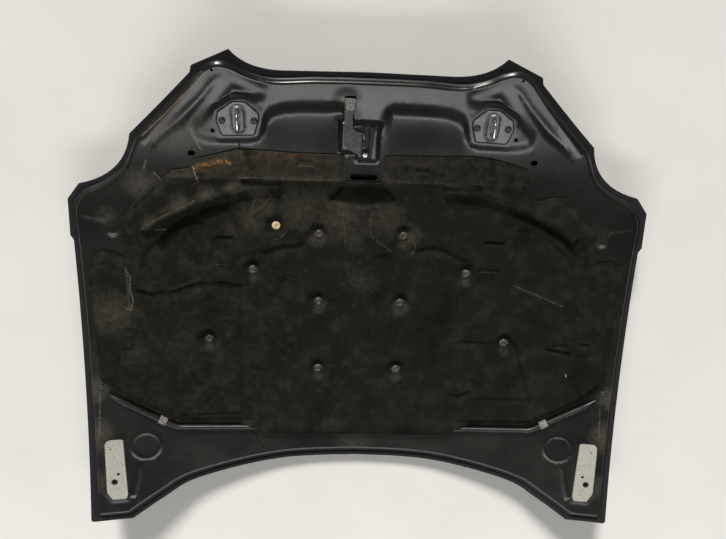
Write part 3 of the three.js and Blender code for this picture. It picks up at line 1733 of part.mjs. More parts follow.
const [bendStart, bendEnd] = [sealHalf[5], sealHalf[6]];
for (const side of sideSigns) {
  const start = sealPoint([side * bendStart[0], bendStart[1]]);
  const end = sealPoint([side * bendEnd[0], bendEnd[1]]);
  const middle = start.clone().lerp(end, sealClipShare);
  const along = end.clone().sub(start).normalize();
  const across = skinNormal(middle.x, middle.y).cross(along).normalize();
  const up = along.clone().cross(across);
  const clip = named(`seal_clip_${sideName(side)}`, facingOut(sealClip()), rubber);
  clip.position.copy(middle);
  clip.quaternion.setFromRotationMatrix(new THREE.Matrix4().makeBasis(across, up, along));
  bonnet.add(clip);
}

// Round push-in plug beside each end of the seal, with a sunk middle
function sidePlug() {
  return turned([
    [0, -plugStemLength],
    [plugStemRadius, -plugStemLength],
    [plugStemRadius, 0],
    [plugRadius, 0],
    [plugRadius * 0.86, plugHeight],
    [plugRadius * 0.5, plugHeight],
    [plugRadius * 0.36, plugHeight * 0.3],
    [0, plugHeight * 0.3],
  ], middleCircle);
}

for (const side of sideSigns) {
  const x = side * plugX;
  const normal = skinNormal(x, plugY);
  const foot = new THREE.Vector3(x, plugY, panelHeight(x, plugY)).addScaledVector(normal, seamGap);
  place(named(`side_plug_${sideName(side)}`, facingOut(sidePlug()), blackPlastic), foot, normal);
}

// Hinge reinforcements and their weld nuts, behind the seats
hingeSeats.forEach((seat, i) => {
  const side = sideSigns[i];
  const name = sideName(side);
  const underPanel = seat.group(-panelThickness - seamGap - hingeReinforcementThickness);
  const plate = reinforcement(onSide(side, hingeOutline), hingeReinforcementThickness, [
    [side * hingeBoltHoleOut, -hingeBoltHoleBack, boltHoleRadius],
    [-side * hingeSmallHoleIn, -hingeSmallHoleBack, hingeSmallHoleRadius],
  ]);
  underPanel.add(named(`hinge_reinforcement_${name}`, plate, blackSteel));
  const nut = named(`hinge_nut_${name}`, weldNut(hingeNutAcross, boltShankRadius, hingeNutHeight), steel);
  nut.position.set(side * hingeBoltHoleOut, -hingeBoltHoleBack, -seamGap);
  underPanel.add(nut);
});

// Stand the part on its lowest point, centred in plan
bonnet.updateMatrixWorld(true);
const box = new THREE.Box3().setFromObject(bonnet);
bonnet.position.set(-(box.min.x + box.max.x) / 2, -(box.min.y + box.max.y) / 2, -box.min.z);

export default bonnet;
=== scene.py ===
# Car bonnet seen from its inner side: painted pressings, moulded felt pad, strikers, safety catch and seal
import math

import bmesh
import bpy
import numpy as np
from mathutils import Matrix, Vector
from mathutils.geometry import delaunay_2d_cdt
from mathutils.kdtree import KDTree


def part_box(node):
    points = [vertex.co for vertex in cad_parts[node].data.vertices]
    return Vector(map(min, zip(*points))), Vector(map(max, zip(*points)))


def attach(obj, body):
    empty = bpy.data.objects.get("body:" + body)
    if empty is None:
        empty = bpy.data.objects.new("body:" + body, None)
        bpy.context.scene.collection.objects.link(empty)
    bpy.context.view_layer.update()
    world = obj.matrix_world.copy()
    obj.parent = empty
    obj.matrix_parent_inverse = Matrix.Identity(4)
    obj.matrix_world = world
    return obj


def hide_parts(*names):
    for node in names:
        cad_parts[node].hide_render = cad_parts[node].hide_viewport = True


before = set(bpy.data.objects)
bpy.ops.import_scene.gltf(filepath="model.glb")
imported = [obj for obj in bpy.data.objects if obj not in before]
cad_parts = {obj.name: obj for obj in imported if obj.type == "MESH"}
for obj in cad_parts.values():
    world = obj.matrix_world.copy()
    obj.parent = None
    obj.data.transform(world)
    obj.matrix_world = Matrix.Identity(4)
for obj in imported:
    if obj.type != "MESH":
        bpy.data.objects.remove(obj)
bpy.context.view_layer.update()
print("frame loaded")

# Layout sizes are in mm: x to the right, y forward from the line through the rear corners,
# z above the lowest point of the skin's inner face. "behind" is a distance behind the nose line.


def toLinear(hexColour):
    # sRGB hex to the linear colour that the shaders use
    parts = [int(hexColour[i:i + 2], 16) / 255 for i in (1, 3, 5)]
    return [c / 12.92 if c <= 0.04045 else ((c + 0.055) / 1.055) ** 2.4 for c in parts] + [1]


def clamp01(value):
    return np.clip(value, 0, 1)


def mix(start, end, share):
    return start + (end - start) * share


def smooth(share):
    t = clamp01(share)
    return t * t * (3 - 2 * t)


def mirrored(points):
    return [(-x, y) for x, y in points]


bothSides = ((1, "right"), (-1, "left"))


def onSide(side, points):
    return counterClockwise(points if side > 0 else mirrored(points))


def counterClockwise(loop):
    pts = np.array(loop, float)
    nxt = np.roll(pts, -1, axis=0)
    area = np.sum(pts[:, 0] * nxt[:, 1] - nxt[:, 0] * pts[:, 1])
    return pts if area > 0 else pts[::-1].copy()


def segmentDistances(points, a, b):
    along = b - a
    rel = points - a
    share = clamp01((rel @ along) / max(along @ along, 1e-9))
    return np.hypot(*(rel - share[:, None] * along).T)


def lineDistance(line, points):
    line = np.array(line, float)
    best = np.full(len(points), 1e9)
    for a, b in zip(line[:-1], line[1:]):
        best = np.minimum(best, segmentDistances(points, a, b))
    return best


def depthInside(loop, points):
    # distance to a loop, positive inside it
    loop = np.asarray(loop, float)
    best = np.full(len(points), 1e9)
    inside = np.zeros(len(points), bool)
    for a, b in zip(loop, np.roll(loop, -1, axis=0)):
        best = np.minimum(best, segmentDistances(points, a, b))
        spans = (a[1] > points[:, 1]) != (b[1] > points[:, 1])
        rise = b[1] - a[1] if abs(b[1] - a[1]) > 1e-12 else 1e-12
        crossing = (b[0] - a[0]) * (points[:, 1] - a[1]) / rise + a[0]
        inside ^= spans & (points[:, 0] < crossing)
    return np.where(inside, best, -best)


def ramp(loop, wall, points):
    # 0 outside a loop, rising over its wall to 1 inside; only points near the loop are worked on
    loop = np.asarray(loop, float)
    low = loop.min(0)
    high = loop.max(0)
    near = np.all((points > low) & (points < high), axis=1)
    share = np.zeros(len(points))
    if near.any():
        share[near] = smooth(depthInside(loop, points[near]) / wall)
    return share


def mitred(loop, distance):
    # a loop moved inwards
    pts = np.asarray(loop, float)
    into = pts - np.roll(pts, 1, axis=0)
    out = np.roll(pts, -1, axis=0) - pts
    into /= np.maximum(np.hypot(*into.T), 1e-9)[:, None]
    out /= np.maximum(np.hypot(*out.T), 1e-9)[:, None]
    normal = np.stack([-into[:, 1] - out[:, 1], into[:, 0] + out[:, 0]], axis=1)
    scale = 2 / np.maximum(0.8, np.sum(normal * normal, axis=1))
    return pts + normal * (scale * distance)[:, None]


def sideLine(line, distance):
    # a line moved to its left
    pts = np.asarray(line, float)
    along = np.gradient(pts, axis=0)
    along /= np.hypot(*along.T)[:, None]
    return pts + np.stack([-along[:, 1], along[:, 0]], axis=1) * distance


def strip(line, halfWidth):
    return counterClockwise(np.vstack([sideLine(line, -halfWidth), sideLine(line, halfWidth)[::-1]]))


def arcPoints(x, y, radius, count, start=0.0, turn=2 * math.pi):
    angles = start + turn * np.arange(count) / count
    return np.stack([x + radius * np.cos(angles), y + radius * np.sin(angles)], axis=1)


def slotLoop(x, y, length, width, steps=8):
    reach = (length - width) / 2
    right = arcPoints(x + reach, y, width / 2, steps, -math.pi / 2, math.pi * steps / (steps - 1))
    left = arcPoints(x - reach, y, width / 2, steps, math.pi / 2, math.pi * steps / (steps - 1))
    return np.vstack([right, left])


def bentLine(start, middle, end, count):
    # quadratic curve from start to end, drawn towards the middle point
    return [(1 - t) ** 2 * start + 2 * t * (1 - t) * middle + t * t * end for t in np.linspace(0, 1, count)]


# Rounded corners: bends in degrees, the share of a side that a corner may take, its points
rounding = {"leastBend": 12, "mostBend": 120, "share": 0.45, "points": 6}


def roundedLoop(loop, radius, step=None, shape=None):
    # rounds the corners of "shape" (the loop itself if none is given) and follows the same shares on "loop"
    pts = np.asarray(loop, float)
    base = pts if shape is None else np.asarray(shape, float)
    count = len(base)
    lengths = np.hypot(*(np.roll(base, -1, axis=0) - base).T)
    fine = []
    cuts = []
    for i in range(count):
        before, after = lengths[i - 1], lengths[i]
        into = (base[i] - base[i - 1]) / max(before, 1e-9)
        out = (base[(i + 1) % count] - base[i]) / max(after, 1e-9)
        bend = math.degrees(math.acos(max(-1, min(1, float(into @ out)))))
        wanted = radius * math.tan(math.radians(min(bend, rounding["mostBend"])) / 2)
        cut = min(wanted, rounding["share"] * before, rounding["share"] * after)
        cuts.append(cut if bend > rounding["leastBend"] else 0)
    for i in range(count):
        before, after = lengths[i - 1], lengths[i]
        here, last, nxt = pts[i], pts[i - 1], pts[(i + 1) % count]
        start = here + (last - here) * cuts[i] / before
        end = here + (nxt - here) * cuts[i] / after
        if cuts[i] > 0:
            fine += bentLine(start, here, end, rounding["points"])
        else:
            fine.append(here)
        run = after - cuts[i] - cuts[(i + 1) % count]
        pieces = max(1, round(run / step)) if step else 1
        stop = nxt + (here - nxt) * cuts[(i + 1) % count] / after
        for k in range(1, pieces):
            fine.append(mix(end, stop, k / pieces))
    return np.array(fine)


def splinePoints(points, step):
    # smooth curve through points, with its ends repeated
    pts = [np.array(p, float) for p in points]
    fine = []
    for i in range(len(pts) - 1):
        p0, p1, p2, p3 = pts[max(0, i - 1)], pts[i], pts[i + 1], pts[min(len(pts) - 1, i + 2)]
        pieces = max(1, round(float(np.linalg.norm(p2 - p1)) / step))
        for k in range(pieces):
            t = k / pieces
            v0, v1 = (p2 - p0) / 2, (p3 - p1) / 2
            cubic = (2 * p1 - 2 * p2 + v0 + v1) * t ** 3
            fine.append(cubic + (-3 * p1 + 3 * p2 - 2 * v0 - v1) * t * t + v0 * t + p1)
    fine.append(pts[-1])
    return np.array(fine)


# The bonnet's edge and crown, with its sheets
bonnet = {
    "nose": 1247, "noseHalf": 200, "noseDroop": 3, "noseCurve": 0.72,
    "hornTip": (319, 38), "hornShoulder": (408, 1), "hornNeck": (413, -14),  # x and how far ahead of the nose
    "lampTop": (574, -160), "lampBottom": (709, -286), "lampElbow": (0.18, 0.82),
    "wing": (739, -325), "jog": (743, -419), "jogDepth": 7, "jogLength": 13,
    "rearCorner": 745, "rearFoot": 633, "archRise": 171, "archShoulder": (450, 110),
    "archFoot": (0.5, 0.55), "archFlat": 0.82,  # shares of the way to the shoulder, and on to the middle
    "nosePoints": 26, "lampPoints": 12, "archStep": 16,
    "lowPoint": 600, "rearRise": 41, "noseRise": 50, "curlLength": 330, "curlRise": 72, "sideRise": 68,
    "skin": 0.8, "panel": 0.7, "seam": 0.3, "hem": 12,
    "hemFoot": 0.05, "hemBevel": (0.4, 0.7), "hemMiddle": 0.55, "foldSteps": 8,
    "cornerRadius": 9, "edgeStep": 7, "skinStep": 15,
}


def ahead(distance):
    return bonnet["nose"] + distance


def behind(distance):
    return bonnet["nose"] - distance


def fromNose(line):
    return [(x, behind(d)) for x, d in line]


def bonnetOutline():
    b = bonnet
    noseEdge = b["nose"] - b["noseDroop"]
    tip = np.array([b["hornTip"][0], ahead(b["hornTip"][1])])
    start = np.array([b["noseHalf"], noseEdge])
    bend = np.array([mix(b["noseHalf"], tip[0], b["noseCurve"]), noseEdge])
    lampTop = np.array([b["lampTop"][0], ahead(b["lampTop"][1])])
    lampBottom = np.array([b["lampBottom"][0], ahead(b["lampBottom"][1])])
    elbow = np.array([mix(lampTop[0], lampBottom[0], b["lampElbow"][0]),
                      mix(lampTop[1], lampBottom[1], b["lampElbow"][1])])
    half = [(0, b["nose"]), tuple(start)]
    half += [tuple(p) for p in bentLine(start, bend, tip, b["nosePoints"])[1:]]
    half += [(x, ahead(y)) for x, y in (b["hornShoulder"], b["hornNeck"])]
    half += [tuple(p) for p in bentLine(lampTop, elbow, lampBottom, b["lampPoints"])]
    half.append((b["wing"][0], ahead(b["wing"][1])))
    jogX, jogY = b["jog"][0], ahead(b["jog"][1])
    half += [(jogX, jogY), (jogX - b["jogDepth"], jogY - b["jogLength"])]
    half += [(b["rearCorner"], 0), (b["rearFoot"], 0)]
    shoulderX, shoulderY = b["archShoulder"]
    footShare, footRise = b["archFoot"]
    arch = splinePoints([
        (b["rearFoot"], 0), (mix(b["rearFoot"], shoulderX, footShare), shoulderY * footRise),
        (shoulderX, shoulderY), (shoulderX / 2, mix(shoulderY, b["archRise"], b["archFlat"])),
        (0, b["archRise"]),
    ], b["archStep"])
    half += [tuple(p) for p in arch[1:]]
    left = [p for p in mirrored(half)[::-1] if abs(p[0]) > 1e-6]
    return counterClockwise(half + left)


outline = bonnetOutline()


def crown(points):
    # height of the skin's inner face
    x, y = points[..., 0], points[..., 1]
    b = bonnet
    along = y - b["lowPoint"]
    share = np.where(along < 0, b["rearRise"] / b["lowPoint"] ** 2,
                     b["noseRise"] / (b["nose"] - b["lowPoint"]) ** 2)
    curl = np.maximum(0, (y - behind(b["curlLength"])) / b["curlLength"])
    return share * along ** 2 + b["curlRise"] * curl ** 2 + b["sideRise"] * (x / b["rearCorner"]) ** 2


def crownNormal(points):
    step = 0.5
    dx = (crown(points + [step, 0]) - crown(points - [step, 0])) / (2 * step)
    dy = (crown(points + [0, step]) - crown(points - [0, step])) / (2 * step)
    normal = np.stack([-dx, -dy, np.ones_like(dx)], axis=-1)
    return normal / np.linalg.norm(normal, axis=-1, keepdims=True)


def aboveSkin(points, height):
    # points square to the skin, at a height above its inner face
    flat = np.concatenate([points, crown(points)[..., None]], axis=-1)
    return flat + crownNormal(points) * np.asarray(height)[..., None]


# The layout's origin in the frame, from the skin's lowest corner there
skinLow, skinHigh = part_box("outer_skin")
edgeBelow = aboveSkin(outline, np.full(len(outline), -bonnet["skin"]))
layoutOrigin = np.array([0, skinLow.y * 1000 - edgeBelow[:, 1].min(), skinLow.z * 1000 + bonnet["skin"]])


def toFrame(points):
    return (np.asarray(points, float) + layoutOrigin) / 1000


# Forms pressed into the inner panel: loop, rise and wall width
panel = {
    "lift": 16, "wall": 17, "step": 6.4, "sideInset": 31,
    # top of the raised edge, right half, from the middle of the nose to the side
    "ridge": [(0, 1219), (120, 1218), (223, 1213), (282, 1224), (319, 1240), (348, 1246), (378, 1233),
              (406, 1206), (430, 1181), (471, 1144), (541, 1080), (558, 1058), (580, 1013), (596, 990),
              (622, 969), (652, 951), (684, 935), (705, 912), (713, 880), (712, 800)],
    # raised ground of nose beam and strikers, right half
    "front": [(345, 1300), (345, 1250), (296, 1222), (244, 1196), (316, 1194), (384, 1158), (430, 1116),
              (424, 1074), (384, 1063), (282, 1063), (244, 1090), (240, 1122), (222, 1138), (196, 1147),
              (160, 1150), (58, 1152), (42, 1110), (34, 1063)],
    "frontLift": 6, "frontWall": 30,
    # two valleys beside the striker, with the fold between them
    "outerValley": [(332, 1224), (352, 1230), (374, 1216), (398, 1190), (462, 1138), (505, 1092), (546, 1030),
                    (486, 1080), (440, 1106), (384, 1168), (342, 1218)],
    "innerValley": [(236, 1190), (282, 1199), (318, 1214), (366, 1168), (424, 1106), (404, 1104), (372, 1142),
                    (312, 1176)],
    "valleyDepth": 6, "valleyWall": 22,
    "pocket": [(42, 1178), (160, 1175), (205, 1171), (242, 1158), (264, 1126), (270, 1030), (36, 1030)],
    "pocketDepth": 9, "pocketWall": 32, "pocketRear": 205, "pocketFade": 118,
    "dish": (-50, 1170, 47), "dishDepth": 3, "dishWall": 30,
    "bead": [(402, 1206), (470, 1145), (540, 1082), (545, 1070), (538, 1058), (462, 1138)],
    "beadHeight": 3, "beadHalf": 9, "beadWall": 5,
    "disc": (587, 227), "discRadius": 43, "discRim": 6, "discHeight": 2.6, "discDrop": 1.2, "discWall": 3.5,
    "emboss": (636, 403), "embossRadius": 19, "embossHeight": 4, "embossWall": 8,
    # folds from the disc to the hinge's middle, and from the emboss to the wing's corner
    "hingeFold": [(-64, 12), (-56, -38), (-44, -88)], "wingFoldIn": (31, 34), "wingFoldEnd": (9.5, 28.5),
    # rounding of the forms' outlines, and points round each circle
    "frontRound": 24, "valleyRound": 14, "pocketRound": 26, "beadRound": 5, "roundPoints": 48,
    "embossPoints": 40, "ridgeStep": 10,
}
panelForms = []
pocketLoops = []


def ridgeLoop():
    # top of the wall between the flange in the hem and the raised panel
    front = splinePoints(panel["ridge"], panel["ridgeStep"])
    inset = mitred(outline, panel["sideInset"])
    low = panel["ridge"][-1][1]
    rear = [tuple(p) for p in inset[::-1] if p[0] > 0.5 and p[1] < low - 8]
    half = [tuple(p) for p in front] + rear
    left = [p for p in mirrored(half)[::-1] if abs(p[0]) > 0.5]
    return counterClockwise(half + left)


ridge = ridgeLoop()


def addForm(forms, loop, amount, wall, pair=False):
    forms.append((counterClockwise(loop), amount, wall))
    if pair:
        forms.append((counterClockwise(mirrored(loop)), amount, wall))


def addPanelForms():
    p = panel
    front = roundedLoop(p["front"] + mirrored(p["front"])[::-1], p["frontRound"])
    addForm(panelForms, front, p["frontLift"], p["frontWall"])
    for name in ("outerValley", "innerValley"):
        addForm(panelForms, roundedLoop(p[name], p["valleyRound"]), -p["valleyDepth"], p["valleyWall"], True)
    for side in (1, -1):
        pocketLoops.append(roundedLoop(onSide(side, p["pocket"]), p["pocketRound"]))
    dish = arcPoints(*p["dish"], p["roundPoints"])
    addForm(panelForms, dish, -p["dishDepth"], p["dishWall"])
    addForm(panelForms, roundedLoop(p["bead"], p["beadRound"]), p["beadHeight"] / 2, p["beadWall"], True)
    disc = arcPoints(*p["disc"], p["discRadius"], p["roundPoints"])
    addForm(panelForms, disc, p["discHeight"], p["discWall"], True)
    inside = arcPoints(*p["disc"], p["discRadius"] - p["discRim"], p["roundPoints"])
    addForm(panelForms, inside, -p["discDrop"], p["discWall"], True)
    embossX, embossY = p["emboss"][0], behind(p["emboss"][1])
    emboss = arcPoints(embossX, embossY, p["embossRadius"], p["embossPoints"])
    addForm(panelForms, emboss, p["embossHeight"], p["embossWall"], True)
    fold = [(hinge["x"] + x, hinge["y"] + y) for x, y in p["hingeFold"]]
    addForm(panelForms, strip(fold, p["beadHalf"]), p["beadHeight"], p["beadWall"], True)
    inX, inY = p["wingFoldIn"]
    endX, endY = p["wingFoldEnd"]
    wing = [(bonnet["wing"][0] - inX, ahead(bonnet["wing"][1]) - inY), (embossX + endX, embossY + endY)]
    addForm(panelForms, strip(wing, p["beadHalf"]), p["beadHeight"] / 2, p["beadWall"], True)


def panelRise(points):
    p = panel
    edge = smooth(1 + depthInside(ridge, points) / p["wall"])
    rise = np.full(len(points), float(p["lift"]))
    for loop, amount, wall in panelForms:
        rise += amount * ramp(loop, wall, points)
    fade = smooth((points[:, 1] - behind(p["pocketRear"])) / p["pocketFade"])
    for loop in pocketLoops:
        rise -= p["pocketDepth"] * fade * ramp(loop, p["pocketWall"], points)
    return bonnet["seam"] + bonnet["panel"] + edge * rise


# Striker plate and hinge footprint about their centres, right side, outboard is +X
striker = {
    "x": 310, "behind": 117, "seatRise": 2, "seatMargin": 8,
    "outline": [(11, 41), (-19, 41), (-48, 13.7), (-48, 0), (-36, -40), (40, -42), (50, -6.8), (46, 16.4)],
    "corner": 9, "plate": 2, "bevel": 0.7, "step": 2.6,
    "boss": (70, 34), "bossHeight": 5, "bossWall": 5, "groove": 1.2, "grooveWidth": 3, "grooveWall": 1.5,
    "boltSpan": 38, "boltForward": -4, "boltHole": 4.6,
    "wire": 4, "loopSpan": 40, "loopHeight": 31, "loopBend": 9, "loopStraight": 4, "footGap": 0.9,
    "bendPoints": 9, "wirePoints": 20, "bossPoints": 16,
}
hinge = {
    "x": 671, "y": 161, "length": 176, "width": 46, "slant": 14, "corner": 5, "seatRise": 3, "seatMargin": 3,
    "bolt": (3, -36, 9), "small": (-8, -13, 4), "locator": (9, 63, 2),
}
catch = {
    "x": 0, "behind": 196, "middle": 60, "seatRise": 5, "seatMargin": 3,
    "bracket": 2, "bracketHalf": 17, "frontRight": 24, "frontLeft": 5, "front": 70, "rear": 14,
    "tabHeight": 13, "tabWidth": 12, "lever": 2.5, "leverGap": 0.4, "eye": 12,
    "pin": 3.5, "pinHead": 6.5, "pinHeadHeight": 2, "clearance": 0.35,
    "plateLeft": 54, "plateRear": 9, "plateFront": 58, "fillet": 8, "chamfer": 13,
    "strap": 21, "strapFront": 103, "finger": 27, "fingerFront": 142,
    "hookForward": 44, "hook": 4, "hookWidth": 20, "hookHeight": 42, "hookReach": 16,
    "hookLip": 9, "hookSlope": 5, "hookFoot": 0.4, "hookRound": 3,
    "eyeTurn": (-0.62, 0.48), "eyePoints": 18, "round": 5, "bevel": 0.4, "leverBevel": 0.5, "leverStep": 4,
    "tabFoot": 0.5, "tabRound": 2.5, "springPoints": 12,
    "springWire": 1, "springCoil": 8.5, "springTurns": 2.5, "springPitch": 2.3, "turnPoints": 28,
    "rivet": (10, 56), "rivetRadius": 2.4, "rivetHead": 5, "rivetHeadHeight": 1.8,
}
seatWall = 12


def hingeOutline():
    h = hinge
    halfLong, halfWide, slant = h["length"] / 2, h["width"] / 2, h["slant"]
    return [
        (halfWide - slant / 2, halfLong), (-halfWide, halfLong), (-halfWide - slant / 2, -halfLong + slant),
        (-halfWide - slant / 4, -halfLong), (halfWide - slant, -halfLong), (halfWide, -halfLong + halfWide),
        (halfWide, halfLong - slant / 2),
    ]


def tiltTo(normal):
    # matrix that turns straight up to a direction
    return np.array(Vector((0, 0, 1)).rotation_difference(Vector(normal)).to_matrix())


def makeSeat(x, y, rise, loopInSeat, margin):
    # flat pressed into the panel: its plane, its turn and the loop that it fills
    centre = np.array([[x, y]], float)
    normal = crownNormal(centre)[0]
    height = (crown(centre) + panelRise(centre))[0] + rise
    origin = np.array([x, y, height])
    spin = tiltTo(normal)
    local = mitred(counterClockwise(loopInSeat), -margin)
    loop = (np.c_[local, np.zeros(len(local))] @ spin.T + origin)[:, :2]
    return {"origin": origin, "normal": normal, "spin": spin, "loop": loop, "outer": mitred(loop, -seatWall)}


def seatHeight(seat, points):
    rel = points - seat["origin"][:2]
    return seat["origin"][2] - rel @ seat["normal"][:2] / seat["normal"][2]


def onSeat(seat, points, lift=0.0):
    # points in a seat's own axes, moved to the layout
    pts = np.asarray(points, float) + [0, 0, lift]
    return pts @ seat["spin"].T + seat["origin"]


def seatLoop(seat, loop):
    # a loop drawn in a seat's plane, as it lies in the plan
    return onSeat(seat, np.c_[loop, np.zeros(len(loop))])[:, :2]


def seatRing(seat, side, place):
    x, y, radius = place
    return seatLoop(seat, arcPoints(side * x, y, radius, circle["seat"]))


addPanelForms()
strikerSeats = {
    side: makeSeat(side * striker["x"], behind(striker["behind"]), striker["seatRise"],
                   onSide(side, striker["outline"]), striker["seatMargin"])
    for side in (1, -1)
}
hingeSeats = {
    side: makeSeat(side * hinge["x"], hinge["y"], hinge["seatRise"],
                   onSide(side, hingeOutline()), hinge["seatMargin"])
    for side in (1, -1)
}
catchLoop = [
    (-catch["eye"], -catch["rear"]), (catch["frontRight"], -catch["rear"]),
    (catch["frontRight"], catch["front"]), (-catch["plateLeft"], catch["front"]),
    (-catch["plateLeft"], catch["plateRear"]), (-catch["eye"], catch["plateRear"]),
]
catchSeat = makeSeat(catch["x"], behind(catch["behind"] - catch["middle"]), catch["seatRise"],
                     [(x, y - catch["middle"]) for x, y in catchLoop], catch["seatMargin"])
seats = [*strikerSeats.values(), catchSeat, *hingeSeats.values()]


def panelHeight(points):
    # upper face of the inner panel
    height = crown(points) + panelRise(points)
    for seat in seats:
        share = ramp(seat["outer"], seatWall, points)
        height = mix(height, seatHeight(seat, points), share)
    return height


# Meshes. A net's row height, its first row, the room kept round rims and the spacing along creases,
# each as a share of its spacing; "rim" is in mm
netting = {"row": 0.866, "first": 0.37, "room": 0.55, "plateRoom": 0.5, "along": 0.8, "rim": 2}
circle = {"seat": 28, "panel": 20, "clip": 16, "slot": 10, "plate": 24}  # points round each kind of hole


def planMesh(outer, holes, creases, spacing):
    # triangles inside a loop, with its holes, creases and an even fill between them
    low, high = outer.min(0), outer.max(0)
    rowHeight = spacing * netting["row"]
    room = spacing * netting["room"]
    rows = np.arange(low[1] + rowHeight * netting["first"], high[1], rowHeight)
    grid = []
    for i, y in enumerate(rows):
        xs = np.arange(low[0] + (i % 2) * spacing / 2, high[0], spacing)
        grid.append(np.c_[xs, np.full(len(xs), y)])
    fill = np.vstack(grid)
    fill = fill[depthInside(outer, fill) > room]
    for hole in holes:
        near = np.all((fill > hole.min(0) - spacing) & (fill < hole.max(0) + spacing), axis=1)
        index = np.flatnonzero(near)
        fill = np.delete(fill, index[depthInside(hole, fill[index]) > -room], axis=0)
    lines = []
    for crease in creases:
        pts = np.asarray(crease, float)
        run = np.hypot(*np.diff(pts, axis=0).T)
        shares = np.concatenate([[0], np.cumsum(run)])
        count = max(2, int(shares[-1] / (spacing * netting["along"])) + 1)
        at = np.linspace(0, shares[-1], count)
        fine = np.c_[np.interp(at, shares, pts[:, 0]), np.interp(at, shares, pts[:, 1])]
        keep = depthInside(outer, fine) > netting["rim"]
        for hole in holes:
            keep &= depthInside(hole, fine) < -netting["rim"]
        lines.append(fine[keep])
    if lines:
        tree = KDTree(len(fill))
        for i, (x, y) in enumerate(fill):
            tree.insert((x, y, 0), i)
        tree.balance()
        crowded = set()
        for x, y in np.vstack(lines):
            crowded.update(i for _, i, _ in tree.find_range((x, y, 0), room))
        fill = np.delete(fill, sorted(crowded), axis=0)
    points = [outer] + list(holes) + lines + [fill]
    edges = []
    start = len(outer)
    for hole in holes:
        edges += [(start + i, start + (i + 1) % len(hole)) for i in range(len(hole))]
        start += len(hole)
    vectors = [Vector(p) for p in np.vstack(points)]
    coords, _, faces, _, _, _ = delaunay_2d_cdt(vectors, edges, [list(range(len(outer)))], 1, 1e-4)
    net = np.array([tuple(c) for c in coords])
    triangles = np.array([f for f in faces if len(f) == 3])
    middles = net[triangles].mean(axis=1)
    keep = np.ones(len(triangles), bool)
    for hole in holes:
        near = np.flatnonzero(np.all((middles > hole.min(0)) & (middles < hole.max(0)), axis=1))
        keep[near[depthInside(hole, middles[near]) > 0]] = False
    return net, triangles[keep]


def closedSheet(triangles, upper, lower):
    # both faces of a sheet and the rim between them
    count = len(upper)
    faces = [tuple(t) for t in triangles.tolist()]
    faces += [(a + count, c + count, b + count) for a, b, c in triangles.tolist()]
    directed = set()
    for a, b, c in triangles.tolist():
        directed.update(((a, b), (b, c), (c, a)))
    faces += [(b, a, a + count, b + count) for a, b in sorted(directed) if (b, a) not in directed]
    return np.vstack([upper, lower]), faces


def ringMesh(rings, closeEnds=True):
    # skin over rings of equal count, with flat ends
    count = len(rings[0])
    faces = []
    for k in range(len(rings) - 1):
        for i in range(count):
            j = (i + 1) % count
            faces.append((k * count + i, k * count + j, (k + 1) * count + j, (k + 1) * count + i))
    if closeEnds:
        faces.append(tuple(reversed(range(count))))
        faces.append(tuple(range((len(rings) - 1) * count, len(rings) * count)))
    return np.vstack(rings), faces


def turned(profile, sides):
    # rings about z from a profile of (radius, height), from the bottom up
    rings = []
    for radius, height in profile:
        rings.append(np.c_[arcPoints(0, 0, max(radius, 0.02), sides), np.full(sides, float(height))])
    return ringMesh(rings)


def tube(path, radius, sides, up=(0, 0, 1)):
    # round bar along a path; its section is held towards "up"
    pts = np.asarray(path, float)
    along = np.gradient(pts, axis=0)
    along /= np.linalg.norm(along, axis=1)[:, None]
    across = np.cross(along, np.broadcast_to(np.asarray(up, float), pts.shape))
    across /= np.linalg.norm(across, axis=1)[:, None]
    upward = np.cross(across, along)
    radii = np.broadcast_to(radius, len(pts))
    rings = []
    for i, centre in enumerate(pts):
        section = arcPoints(0, 0, radii[i], sides)
        rings.append(centre + section[:, :1] * across[i] + section[:, 1:] * upward[i])
    return ringMesh(rings)


